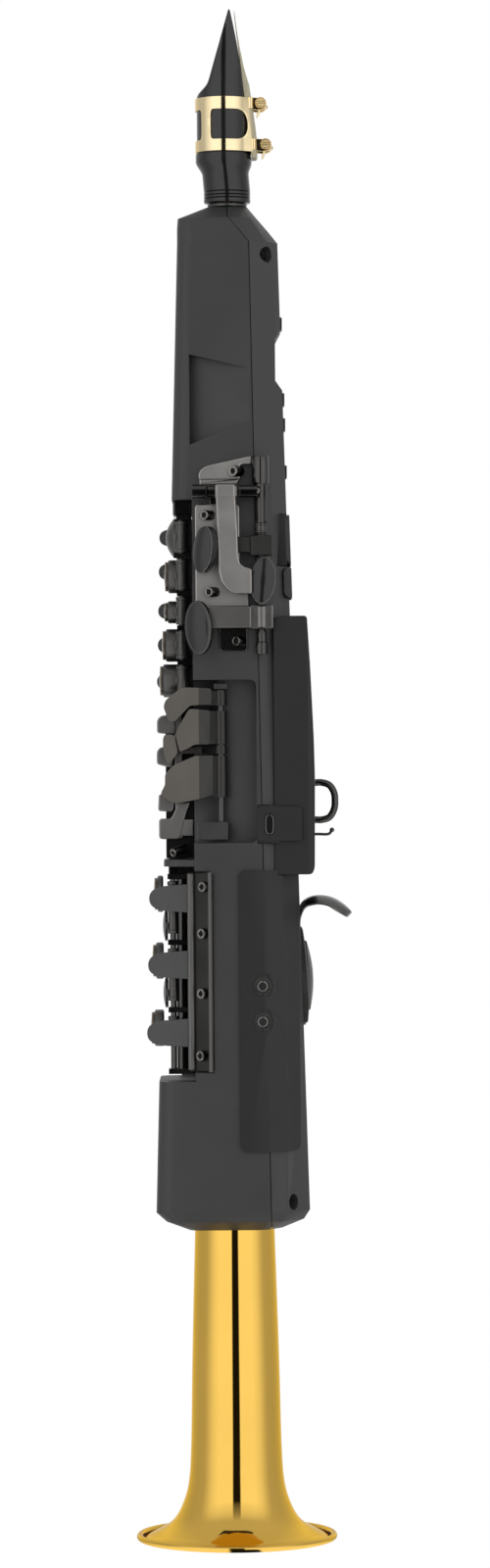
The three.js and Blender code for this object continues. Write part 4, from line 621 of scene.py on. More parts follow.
def plated(name, colour, metallic, rough_low, rough_high, grain, relief, coat):
    """Plated metal: faint polishing marks and cloudy gloss."""
    made = Finish(name, colour, metallic, Coat_Weight=coat, Coat_Roughness=0.08)
    cloud = made.noise(55, 5)
    marks = made.noise(grain, 3, (1, 1, 0.18))
    made.tint(made.spread(cloud, 0, 1), 0.92, 1.06)
    made.rough(made.spread(cloud, rough_low, rough_high))
    made.bump(marks, 0.25, relief)
    return made.material


def bell_lacquer(colours):
    """Clear lacquer over polished gold brass, with faint ripples from spinning."""
    made = Finish("bell_lacquer", colours.lacquer, 1.0, Specular_Tint=(1.0, 0.82, 0.42, 1))
    cloud = made.noise(24, 4)
    ripple = made.noise(30, 2, (1, 1, 9))
    made.tint(made.spread(cloud, 0, 1), 0.96, 1.02)
    made.rough(made.spread(cloud, 0.035, 0.06))
    made.bump(ripple, 0.08, 0.015)
    return made.material


def ligature_brass(colours):
    """Pale satin brass, brushed round the band."""
    made = Finish("ligature_brass", colours.ligature, 1.0, Specular_Tint=(1.0, 0.9, 0.7, 1))
    brushed = made.noise(120, 3, (1, 1, 10))
    cloud = made.noise(60, 4)
    made.tint(made.spread(cloud, 0, 1), 0.96, 1.03)
    made.rough(made.spread(brushed, 0.07, 0.11))
    made.bump(brushed, 0.05, 0.004)
    return made.material


def hard_rubber(colours):
    """Polished black hard rubber with fine turning marks."""
    made = Finish("hard_rubber", colours.rubber, Specular_IOR_Level=0.55)
    marks = made.noise(40, 3, (1, 1, 30))
    smear = made.noise(45, 5)
    made.tint(made.spread(smear, 0, 1), 0.9, 1.15)
    made.rough(made.spread(smear, 0.10, 0.16))
    made.bump(marks, 0.12, 0.006)
    return made.material


def cane(colours):
    """Reed cane: long fibres, pale with faint brown flecks, slightly see-through."""
    made = Finish("cane", colours.cane, Subsurface_Weight=0.12)
    made.shader.inputs["Subsurface Radius"].default_value = (0.004, 0.0025, 0.001)
    fibre = made.noise(420, 4, (1, 1, 0.035))
    fleck = made.noise(160, 3, (1, 1, 0.12))
    made.tint(made.spread(math_node(made.nodes, "ADD", fibre, fleck), 0, 1, 0.75, 1.3), 0.78, 1.12)
    made.rough(made.spread(fibre, 0.45, 0.62))
    made.bump(fibre, 0.4, 0.03)
    return made.material


def cork(colours):
    """Neck cork: fine dark pores."""
    made = Finish("neck_cork", colours.cork)
    pores = made.noise(900, 4)
    made.tint(made.spread(pores, 0, 1, 0.35, 0.6), 0.45, 1.1)
    made.rough(made.spread(pores, 0.7, 0.9))
    made.bump(pores, 0.5, 0.15)
    return made.material


def circuit_board(colours):
    """Green solder resist over faint copper tracks."""
    made = Finish("circuit_board", colours.board)
    tracks = made.noise(160, 2, (1, 0.15, 1))
    made.tint(made.spread(tracks, 0, 1, 0.45, 0.55), 0.8, 1.3)
    made.rough(made.spread(tracks, 0.3, 0.5))
    made.bump(tracks, 0.3, 0.03)
    return made.material


finishes = {}

# By finish: material name, colour, roughness from and to, grain, relief in millimetres, specular.
MOULDED = {
    "casing": ("casing_plastic", "casing", 0.42, 0.52, 1800, 0.02, 0.5),
    "trim": ("trim_plastic", "trim", 0.44, 0.54, 1500, 0.025, 0.5),
    "guard": ("guard_plastic", "guard", 0.48, 0.58, 1400, 0.02, 0.5),
    "touch": ("touch_plastic", "touch", 0.28, 0.36, 1200, 0.008, 0.5),
    # Near-black moulded finish for painted shade in holes and gaps.
    "hollow": ("hollow", "hollow", 0.6, 0.7, 900, 0.01, 0.2),
}

# By finish: material name, colour, metallic, roughness from and to, grain, relief in millimetres,
# coat.
PLATED = {
    "pearl": ("pearl_black", "touch", 0.0, 0.14, 0.2, 300, 0.004, 0.05),
    "arm": ("satin_nickel", "arm", 1.0, 0.33, 0.38, 260, 0.008, 0.0),
    "keys": ("black_nickel", "keys", 1.0, 0.30, 0.36, 260, 0.008, 0.0),
    "table": ("table_nickel", "table", 1.0, 0.19, 0.26, 260, 0.008, 0.0),
    "lever": ("lever_nickel", "lever", 1.0, 0.3, 0.36, 260, 0.008, 0.0),
    "plate": ("plate_nickel", "plate", 0.9, 0.34, 0.4, 260, 0.008, 0.0),
    "dark_keys": ("dark_nickel", "dark_keys", 1.0, 0.13, 0.19, 260, 0.004, 0.0),
    "cups": ("cup_nickel", "cups", 0.85, 0.3, 0.38, 260, 0.008, 0.0),
    "rings": ("pearl_ring", "rings", 1.0, 0.25, 0.33, 260, 0.006, 0.0),
    "rail": ("rail_nickel", "rail", 0.8, 0.42, 0.5, 260, 0.008, 0.0),
    # Brighter screw metal, a painted highlight on the screw heads' rings.
    "screws": ("screw_steel_and_highlight", "screws", 1.0, 0.2, 0.28, 300, 0.006, 0.0),
    "hook": ("hook_nickel", "hook", 1.0, 0.2, 0.28, 260, 0.006, 0.0),
    "dark_steel": ("dark_steel", "dark_steel", 0.9, 0.3, 0.4, 300, 0.008, 0.0),
    "cell": ("cell_sleeve", "cell", 0.5, 0.25, 0.35, 120, 0.006, 0.5),
    "screw_brass": ("screw_brass", "screw_brass", 1.0, 0.38, 0.46, 300, 0.004, 0.0),
}


def make_finishes(context):
    """Every finish by its name, made once."""
    colours = context.scene.wind_colours
    if finishes:
        return
    for table, make in ((MOULDED, moulded), (PLATED, plated)):
        for key, (name, shade, *values) in table.items():
            finishes[key] = make(name, getattr(colours, shade), *values)
    finishes["lacquer"] = bell_lacquer(colours)
    finishes["ligature"] = ligature_brass(colours)
    finishes["rubber"] = hard_rubber(colours)
    finishes["cane"] = cane(colours)
    finishes["cork"] = cork(colours)
    finishes["board"] = circuit_board(colours)


class Piece(bpy.types.Operator):
    """Base of the operators that build pieces."""

    bl_options = {"REGISTER", "UNDO"}

    def execute(self, context):
        make_finishes(context)
        self.make(context.scene)
        return {"FINISHED"}


# The mouth end.

MOUTH_AXIS = -1.4
SEAT = {"x": 10.8, "z": 636.0, "slope": 0.113, "curve_z": 674.0, "opening": 1.75}
BEAK = {
    "foot_x": -9.0, "foot_z": 665.0, "tip_x": 1.3, "tip_half": 7.6, "round": 2.6,
    "flare": 3.4, "flare_z": 660.0, "flare_spread": 3.6,
}


# The mouthpiece's shank: heights of its three fine grooves, and the swell up to the barrel.
GROOVES = (613.7, 615.1, 616.7)
SWELL = {"from": 624.4, "over": 6.2}


def pressed(value, limit, softness):
    """The smaller of a value and a limit, with the corner between them rounded off."""
    gap = value - limit
    return limit + (gap - np.sqrt(gap**2 + softness**2)) / 2


def seat_x(z):
    """The reed's flat seat, a straight line that leans forward with height."""
    return SEAT["x"] - SEAT["slope"] * (z - SEAT["z"])


def table_x(z, tip):
    """The mouthpiece's table: the seat, which curves away from the reed towards the tip by the
    power of 1.5 of the height."""
    past = np.clip((z - SEAT["curve_z"]) / (tip - SEAT["curve_z"]), 0, 1)
    return seat_x(z) - SEAT["opening"] * past**1.5


def beak_x(z, tip):
    """The beak's slope: a straight line that ends below in a flare, a bell curve of the height."""
    line = BEAK["foot_x"] + (BEAK["tip_x"] - BEAK["foot_x"]) * (z - BEAK["foot_z"]) / (tip - BEAK["foot_z"])
    return line - BEAK["flare"] * np.exp(-(((z - BEAK["flare_z"]) / BEAK["flare_spread"]) ** 2))


def mouthpiece_rings(sizes, columns=112):
    """Rings up the mouthpiece: circles whose width is drawn in towards the tip, pressed softly
    against the table behind and the beak's slope in front."""
    low, tip, shank, barrel, seat = (
        getattr(sizes, key) / MM for key in ("low", "tip", "shank", "barrel", "band_low")
    )
    notch = ((-0.3, 0), (0, 0.4), (0.3, 0))
    grooves = [(z + step, shank - deep) for z in GROOVES for step, deep in notch]
    share = np.linspace(0, 1, 14)
    swell = shank + (barrel - shank) * share**2 * (3 - 2 * share)
    swell = np.stack([SWELL["from"] + SWELL["over"] * share, swell], axis=-1)
    upper = np.concatenate([np.linspace(seat - 0.4, 659.4, 6), np.linspace(660, tip - 2.6, 44)])
    lip = tip - 2.5 * (1 - np.sin(np.linspace(0, math.pi / 2, 9)))
    straight = np.concatenate([upper, lip])
    rows = np.concatenate([
        [(low, shank - 0.7), (low + 0.2, shank - 0.2), (low + 0.6, shank)], grooves, swell,
        [(seat - 1.0, barrel), (seat - 0.7, barrel - 0.1)],
        np.stack([straight, np.full(len(straight), barrel - 0.6)], axis=-1),
    ])
    z, radius = rows[:, :1], rows[:, 1:]
    up = np.clip((z - BEAK["flare_z"]) / (tip - BEAK["flare_z"]), 0, 1)
    half = radius + (BEAK["tip_half"] - radius) * up
    half = half - BEAK["round"] * (1 - np.sqrt(1 - np.clip(1 - (tip - z) / 2.5, 0, 1) ** 2))
    angle = np.arange(columns) * 2 * math.pi / columns
    x = MOUTH_AXIS * np.clip((z - 620) / 10, 0, 1) + radius * np.cos(angle)
    y = half * np.sin(angle)
    behind = np.where(z > SEAT["z"] - 4.5, table_x(z, tip), 99)
    front = np.where(z > BEAK["flare_z"] - 0.5, beak_x(z, tip), -99)
    x = pressed(x, behind, 0.5)
    soft = np.clip((behind - front) * 0.2, 0.05, 1.6) * np.clip((z - BEAK["flare_z"]) / 6, 0.2, 1)
    x = -pressed(-x, -front, soft)
    return np.stack([x, y, z + 0 * x], axis=-1)


class WIND_OT_mouthpiece(Piece):
    """Builds the mouthpiece: a turned and flattened outer skin that returns up its bore"""

    bl_idname = "wind.mouthpiece"
    bl_label = "Mouthpiece"

    bore_top = 652.0

    def make(self, scene):
        sizes = scene.wind_mouth
        low, bore = sizes.low / MM, sizes.bore / MM
        outer = mouthpiece_rings(sizes)
        angle = np.arange(outer.shape[1]) * 2 * math.pi / outer.shape[1]
        circle = np.stack([np.cos(angle), np.sin(angle), 0 * angle], axis=-1)
        rows = ((bore, self.bore_top), (bore, low + 0.4), (bore + 0.4, low))
        inner = np.stack([circle * radius + (0, 0, z) for radius, z in rows])
        rings = np.concatenate([inner, outer])
        build("mouthpiece_piece", [skin(rings)], finishes["rubber"], "mouth_end", "hard_rubber",
              ["mouthpiece"])


class WIND_OT_reed(Piece):
    """Builds the reed: flat on its seat, round behind, with a bark that ends above the ligature and
    a vamp that thins from there to the tip"""

    bl_idname = "wind.reed"
    bl_label = "Reed"

    heel = 631.8
    backs = ((631.8, 14.0), (638, 14.15), (646.5, 13.3), (660, 11.4), (666, 10.5), (668.4, 9.7), (674, 8.1),
             (682, 6.5), (688.4, 5.4), (693, 4.75), (699.6, 3.9))

    def make(self, scene):
        tip = scene.wind_mouth.tip / MM - 0.4
        z = np.concatenate([[self.heel, self.heel + 0.15, self.heel + 0.5], np.linspace(634, tip - 3.2, 46),
                            tip - 3.2 * (1 - np.sin(np.linspace(0.15, math.pi / 2, 8)))])
        seat = seat_x(z) + 0.15
        back = np.interp(z, *np.array(self.backs).T)
        thick = np.maximum(back - seat, 0.12)
        half = np.interp(z, [self.heel, tip], [6.5, 7.7])
        half = half * (0.5 + 0.5 * np.sqrt(1 - np.clip(1 - (tip - z) / 3.2, 0, 1) ** 2))
        chamfer = np.interp(z, [self.heel, self.heel + 0.15, self.heel + 0.5], [0.45, 0.15, 0.0])
        across = np.sin(np.linspace(-math.pi / 2, math.pi / 2, 33))
        bow = np.sqrt(np.clip(1 - across**2, 0, 1)) ** 0.5
        y = (half - chamfer)[:, None] * across
        behind = seat[:, None] + (thick - chamfer)[:, None] * (0.45 + 0.55 * bow)
        flat = seat[:, None] + 0 * y[:, ::-1]
        x = np.concatenate([behind, flat], axis=1)
        rings = np.stack([x, np.concatenate([y, y[:, ::-1]], axis=1), z[:, None] + 0 * x], axis=-1)
        build("reed_piece", [skin(rings)], finishes["cane"], "mouth_end", "cane", ["reed"])


class WIND_OT_ligature(Piece):
    """Builds the ligature: a sheet with three windows, bent round the barrel and open over the
    reed, with a rolled knuckle at each end and four lugs for the screws"""

    bl_idname = "wind.ligature"
    bl_label = "Ligature"

    radius = 12.65
    bend = 135.0
    end_y = 6.0
    end_low = 12.5
    end_high = 10.8
    window_high = 653.7
    window_low = 639.9
    side_run = (13.9, 32.4)
    front_run = 8.65
    square, square_power = 2.2, 5.0
    round_reach, round_power = 7.5, 2.4
    straight = 5.2
    edge = 0.16
    lugs = ((15.6, 657.1), (17.85, 638.2))

    def window(self, run):
        """Half a window's height at a run along the sheet from its front, nothing between windows.
        At each end it falls to nothing along a superellipse."""
        run = np.abs(run)
        half = (self.window_high - self.window_low) / 2

        def fall(gap, reach, power):
            return (1 - (1 - np.clip(gap / reach, 0, 1)) ** power) ** (1 / power)

        start, end = self.side_run
        side = fall(run - start, self.square, self.square_power)
        side = side * fall(end - run, self.round_reach, self.round_power)
        front = fall(self.front_run - run, self.square, self.square_power)
        return half * np.maximum(side, front)

    def runs(self):
        """Runs of the sheet's columns, crowded at the windows' ends."""
        start, end = self.side_run
        near = np.linspace(0, 1, 10) ** 3 * self.square
        turn = np.linspace(0, 1, 16) ** 2 * self.round_reach
        last = math.radians(self.bend) * self.radius + self.straight
        half = np.concatenate([
            np.linspace(0, self.front_run - self.square, 6), self.front_run - near,
            [(self.front_run * 2 + start) / 3, (self.front_run + start * 2) / 3], start + near,
            np.linspace(start + self.square, end - self.round_reach, 8), end - turn, [end + 1, last],
        ])
        half = np.unique(np.round(half, 4))
        return np.concatenate([-half[::-1], half[1:]])

    def bent(self, run, z, low, high):
        """A point of the sheet: round the barrel up to the bend, then straight to the sheet's end."""
        turn = math.radians(self.bend)
        angle = math.pi + np.clip(run / self.radius, -turn, turn)
        x = MOUTH_AXIS + self.radius * np.cos(angle)
        y = self.radius * np.sin(angle)
        share = np.clip(np.abs(run) - turn * self.radius, 0, None) / self.straight
        end_x = self.end_low + (self.end_high - self.end_low) * (z - low) / (high - low)
        end_y = -np.sign(run) * self.end_y
        return np.stack([x + (end_x - x) * share, y + (end_y - y) * share, z], axis=-1)

    def make(self, scene):
        keys = ("band_low", "band_high", "band_thick")
        low, high, thick = (getattr(scene.wind_mouth, key) / MM for key in keys)
        run = self.runs()
        middle = (self.window_high + self.window_low) / 2
        rows = np.linspace(0, 1, 5)[:, None]
        above = high + (middle + self.window(run) - high) * rows
        below = middle - self.window(run) + (low - middle + self.window(run)) * rows
        strips = [self.bent(run + 0 * z, z, low, high) for z in (above, below)]
        parts = [(strip.reshape(-1, 3), grid_faces(5, len(run), wrap=False).tolist()) for strip in strips]
        sheet = build("ligature_sheet", parts, finishes["ligature"], "mouth_end", "ligature_brass",
                      ["ligature"], 50)
        solid = sheet.modifiers.new("Thickness", "SOLIDIFY")
        solid.thickness = thick * MM
        solid.offset = 0.0
        edges = sheet.modifiers.new("Edges", "BEVEL")
        edges.width = self.edge * MM
        edges.segments = 2
        edges.angle_limit = math.radians(60)
        edges.use_clamp_overlap = True
        build("ligature_lugs", self.lug_parts(low, high), finishes["ligature"], "mouth_end",
              "ligature_brass")

    def lug_parts(self, low, high):
        """Knuckles, lug plates and the screws' stop pins, on both sides of the reed."""
        parts = []
        for x, z in self.lugs:
            end_x = self.end_low + (self.end_high - self.end_low) * (z - low) / (high - low)
            points = (
                (end_x - 0.4, z - 2.8), (x - 0.6, z - 3.5, 1.6), (x + 2.7, z - 2.6, 2.6),
                (x + 2.9, z + 1.6, 2.2), (x - 0.4, z + 2.3, 1.5), (end_x - 0.4, z + 2.6),
            )
            outline = rounded_outline(points, 0.5)
            for side in (-1, 1):
                knuckle = [(0.7, z - 2.9), (1.2, z - 2.6), (1.2, z + 2.3), (0.7, z + 2.6)]
                parts.append(turned(knuckle, (end_x, side * self.end_y, 0), columns=24))
                parts.append(plate(outline, soft_levels(3.5, 5.3, 0.3), (0, 0, 0), (1, 0, 0), (0, 0, 1),
                                   (0, side, 0)))
            pin = turned([(0.35, 0), (0.6, 0.3), (0.6, 2.6), (0.3, 4.1)], (x - 0.5, -6.2, z - 3.2),
                         (-0.3, 0, -1), 20)
            parts.append(pin)
        return parts


class WIND_OT_ligature_screws(Piece):
    """Builds the two ligature screws: a rimmed and slotted head, a shaft and a flat thumb wing"""

    bl_idname = "wind.ligature_screws"
    bl_label = "Ligature screws"

    head = {"radius": 2.4, "inner": 1.95, "depth": 1.8, "slot": 0.28, "slot_depth": 0.7}
    reach = 5.5
    shaft = {"radius": 1.15, "far": -9.0, "into_head": 0.2}
    collar = ((1.5, 5.8), (1.9, 6.1), (1.9, 8.1), (1.3, 9.4), (1.3, 9.9))
    wing = {"half": (3.4, 2.3), "y": 10.4, "thick": 0.8, "edge": 0.35}

    def make(self, scene):
        head, reach, shaft, wing = self.head, self.reach, self.shaft, self.wing
        top = reach + head["depth"]
        low = top - head["slot_depth"]
        open_angle = math.degrees(math.asin(head["slot"] / head["inner"]))
        half = arc((0, 0), head["inner"] - 0.15, open_angle, 180 - open_angle, 18)
        places = zip(("ligature_screw_upper", "ligature_screw_lower"), WIND_OT_ligature.lugs)
        for name, (x, z) in places:
            centre, left, wide = (x, 0, z), (0, -1, 0), head["radius"]
            rows = [
                (wide - 0.3, reach), (wide, reach + 0.3), (wide, top - 0.35), (wide - 0.15, top - 0.1),
                (wide - 0.3, top - 0.1), (head["inner"], low),
            ]
            rod = [(shaft["radius"], shaft["far"]), (shaft["radius"], reach + shaft["into_head"])]
            flat = soft_levels(-wing["thick"], wing["thick"], wing["edge"])
            parts = [turned(rows, centre, left), turned(rod, centre, left, 24),
                     turned(self.collar, centre, (0, 1, 0), 32)]
            parts.append(plate(ellipse(*wing["half"], columns=40), flat, (x, wing["y"], z), (1, 0, 0),
                               (0, 1, 0), (0, 0, 1)))
            levels = soft_levels(low - 0.2, top - 0.05, 0.2)
            parts += [plate(side, levels, centre, *SIDE) for side in (half, -half)]
            build(f"{name}_piece", parts, finishes["screw_brass"], name, "ligature_brass", [name])


class WIND_OT_neck(Piece):
    """Builds the neck: a metal ring and breath pipe, and the cork that the mouthpiece slides on"""

    bl_idname = "wind.neck"
    bl_label = "Neck"

    ring = (
        (2.4, 556), (6, 556), (6, 564), (2.6, 564), (2.6, 596), (6, 596), (6, 609.6), (8.7, 609.6),
        (9, 609.9), (9, 610.9), (8.7, 611.2), (7.4, 611.2),
    )
    cork = (
        (1.5, 611.3), (7.5, 611.3), (7.7, 611.6), (7.7, 638.6), (7.4, 639.6), (6.9, 640), (1.9, 640),
        (1.5, 639.4),
    )

    def make(self, scene):
        body = body_of("neck")
        ring, sleeve = (turned(rows, (0, 0, 0), columns=56) for rows in (self.ring, self.cork))
        build("neck_ring", [ring], finishes["dark_steel"], body, "trim", ["neck"])
        build("neck_cork", [sleeve], finishes["cork"], body, "trim")


# The bell.

FLARE_HEIGHTS = (1, 0.6, 0.31, 0.185, 0.11, 0.062, 0.034, 0.017, 0.0035)
FLARE_WIDTHS = (0, 0.062, 0.096, 0.143, 0.262, 0.42, 0.64, 0.83, 0.935)


class WIND_OT_bell(Piece):
    """Builds the bell: a flare turned about the upright axis, which dips into a groove before the
    rolled bead at its rim"""

    bl_idname = "wind.bell"
    bl_label = "Bell"

    collar = ((17.8, 150.3), (20.3, 150.3), (20.3, 156.0), (17.8, 156.0))
    groove = {"centre": (43.0, 1.15), "radius": 0.5}
    straight = 7
    columns = 144

    def make(self, scene):
        sizes = scene.wind_bell
        tube, rim, top, flare_top, bead, wall = (
            getattr(sizes, key) / MM for key in ("tube", "rim", "top", "flare_top", "bead", "wall")
        )
        edge = rim - bead
        heights = np.array(FLARE_HEIGHTS) * flare_top
        widths = tube + (edge - tube) * np.array(FLARE_WIDTHS)
        line = smooth_path(np.stack([widths, heights], axis=-1), 90)
        outer = np.concatenate([[(tube, top), (tube, top - self.straight)], line])
        way = np.gradient(outer, axis=0)
        way /= np.linalg.norm(way, axis=1, keepdims=True)
        inner = outer + np.stack([way[:, 1], -way[:, 0]], axis=-1) * wall
        inner[:, 1] = np.maximum(inner[:, 1], 0.1)
        roll = arc((edge, bead), bead, 225, -100, 26)
        horn = turned_ring(np.concatenate([outer, roll, inner[::-1]]), self.columns)
        body = body_of("bell")
        build("bell_piece", [horn], finishes["lacquer"], body, "bell_lacquer", ["bell"], 50)
        # A near-black ring lying in the groove before the bead: painted shade.
        groove = turned_ring(arc(self.groove["centre"], self.groove["radius"], 0, 360, 12)[:-1],
                             self.columns)
        build("bell_groove_shade", [groove], finishes["hollow"], body, "bell_lacquer")
        collar = turned(self.collar, (0, 0, 0), columns=64)
        build("bell_collar", [collar], finishes["dark_steel"], body, "bell_lacquer")


# Casing, housing and panels.


class WIND_OT_casing(Piece):
    """Builds the two casing shells with rounded edges, and the two deep-set shell screws"""

    bl_idname = "wind.casing"
    bl_label = "Casing"

    screws = {"shell_screw_upper": (18.4, -19.2, 586.3), "shell_screw_lower": (26.2, -21.6, 155.8)}
    aim = 54.0
    seat = 6.2
    # Radius and depth past the seat; the negative radii are the six-sided hole.
    screw = (
        (1.2, 5.8), (1.2, 0), (2.9, 0), (3.2, -0.3), (3.2, -1.6), (2.8, -2.0), (-1.3, -2.0), (-1.3, -1.0),
        (0.0, -0.8),
    )

    def make(self, scene):
        edge = scene.wind_edges.casing
        dress("front_shell", finishes["casing"], "casing", edge)
        dress("back_shell", finishes["casing"], "casing", edge)
        aim = math.radians(self.aim)
        inward = np.array([-math.sin(aim), math.cos(aim), 0])
        profile = np.array(self.screw) + (0, self.seat)
        for name, start in self.screws.items():
            part = turned(profile, start, inward, 48, 6)
            build(f"{name}_piece", [part], finishes["dark_steel"], body_of(name), "bare_steel", [name])


class WIND_OT_housing(Piece):
    """Builds the battery and socket housing, its cover, the cells, and the oval USB shell in its
    raised panel"""

    bl_idname = "wind.housing"
    bl_label = "Back housing"

    port = {"x": 17.2, "z": 327.3, "half": (1.9, 4.4), "wall": 0.35, "front": 28.75, "depth": 5.0,
            "power": 3.2}
    panel = {"low": (11.5, 319.7), "high": (31.9, 335.4), "corner": 1.9, "levels": (25.8, 28.55),
             "edge": 0.35}
    tongue = {"half": (0.35, 3.1), "behind": 0.6, "levels": ((0, 26.0), (0, 28.4))}
    shade_ring_levels = ((0, 28.0), (0, 28.6), (0.4, 28.62))
    floor_levels = ((0, 25.6), (0, 26.4))

    def make(self, scene):
        edge = scene.wind_edges.casing
        dress("back_housing", finishes["trim"], "trim", edge)
        dress("battery_cover", finishes["trim"], "trim", edge)
        dress("batteries", finishes["cell"], "cell", scene.wind_edges.cell)
        port, panel, tongue = self.port, self.panel, self.tongue
        place = (port["x"], 0, port["z"])
        (left, low), (right, high) = panel["low"], panel["high"]
        corners = ((left, low), (right, low), (right, high), (left, high))
        raised = side_plate(corners, panel["corner"], *panel["levels"], panel["edge"])
        build("usb_panel", [raised], finishes["trim"], body_of("back_housing"), "trim")
        (half_u, half_v), wall, front, power = port["half"], port["wall"], port["front"], port["power"]
        levels = [(0, front - port["depth"]), (0, front), (wall * 0.3, front + 0.08), (wall, front),
                  (wall, front - port["depth"] + 0.5)]
        shell = plate(ellipse(half_u, half_v, power=power), levels, place, *SIDE)
        build("usb_port_piece", [shell], finishes["hook"], body_of("usb_port"), "bare_steel", ["usb_port"])
        # Painted shade: a near-black ring just proud of the panel round the port, and the port's floor and
        # tongue in near-black, stand in for the shade in and around it.
        shade_ring = plate(ellipse(half_u + 0.4, half_v + 0.5, power=power), self.shade_ring_levels, place, *SIDE)
        floor = plate(ellipse(half_u - wall, half_v - wall, power=power), self.floor_levels, place, *SIDE)
        place = (port["x"] - tongue["behind"], 0, port["z"])
        contact = plate(ellipse(*tongue["half"], power=6), tongue["levels"], place, *SIDE)
        build("usb_inside_shade", [shade_ring, floor, contact], finishes["hollow"], body_of("usb_port"), "bare_steel")


class WIND_OT_panel(Piece):
    """Builds the lower side panel and its two jack sockets, each a shallow ring round a dark bore"""

    bl_idname = "wind.panel"
    bl_label = "Side panel and jacks"

    jack = {"x": 13.5, "radius": 4.0, "bore": 1.8, "dish": 6.1}
    jacks = {"jack_phones": 254.1, "jack_line": 238.0}

    def make(self, scene):
        dress("side_panel", finishes["trim"], "trim", scene.wind_edges.panel)
        x, radius, bore, dish = (self.jack[key] for key in ("x", "radius", "bore", "dish"))
        for name, z in self.jacks.items():
            low, high = node_span(name, 1)
            front, depth = -low, high - low
            profile = [
                (radius - 0.4, front - depth), (radius, front - depth + 0.4), (radius, front - 0.3),
                (radius - 0.3, front), (bore + 0.9, front), (bore + 0.5, front - 0.5), (bore, front - 0.7),
                (bore, front - depth + 1.5), (0, front - depth + 1.4),
            ]
            socket_part = turned(profile, (x, 0, z), (0, -1, 0))
            build(f"{name}_piece", [socket_part], finishes["hook"], body_of(name), "bare_steel", [name])
            rim = [(radius + 0.3, front - 1.6), (dish, front - 1.2), (dish + 0.35, front - 0.75),
                   (dish - 0.1, front - 0.42), (radius + 0.5, front - 0.62), (radius + 0.3, front - 0.9)]
            rim_part = turned(rim, (x, 0, z), (0, -1, 0))
            build(f"{name}_dish", [rim_part], finishes["touch"], body_of(name), "bare_steel")


class WIND_OT_loops(Piece):
    """Builds the strap ring and the small cord hook, round wires along curves in one plane"""

    bl_idname = "wind.loops"
    bl_label = "Strap ring and cord hook"

    ring = ((36.2, 346.1), (38.6, 346.1), (41.4, 346.1), (44.8, 344.9), (46.9, 341.6), (47.35, 337.7),
            (46.9, 333.8), (44.8, 330.3), (41.4, 329.1), (38.6, 329.1), (36.2, 329.1))
    ring_wire = 1.6
    hook = ((36.4, 322.5), (40, 322.5), (43.2, 322.4), (44.8, 322.8), (45.9, 324.4))
    hook_wire, hook_ball = 0.65, 1.1

    def make(self, scene):
        circle = arc((0, 0), 1, 0, 360, 24)[:-1]
        wire = swept(smooth_path(self.ring, 96), circle * self.ring_wire)
        build("strap_ring_piece", [wire], finishes["dark_keys"], body_of("strap_ring"), "key_metal",
              ["strap_ring"])
        tip_x, tip_z = self.hook[-1]
        ball = turned(arc((0, 0), self.hook_ball, -90, 90, 12), (tip_x, 0, tip_z), columns=24)
        parts = [swept(smooth_path(self.hook, 40), circle * self.hook_wire), ball]
        build("cord_hook_piece", parts, finishes["dark_steel"], body_of("cord_hook"), "key_metal",
              ["cord_hook"])


class WIND_OT_controls(Piece):
    """Builds the control strip and its four buttons"""

    bl_idname = "wind.controls"
    bl_label = "Control strip"

    def make(self, scene):
        dress("control_strip", finishes["trim"], "trim", scene.wind_edges.strip)
        for name in ("button_power", "button_up", "button_down", "button_select"):
            dress(name, finishes["touch"], "touch", scene.wind_edges.button)


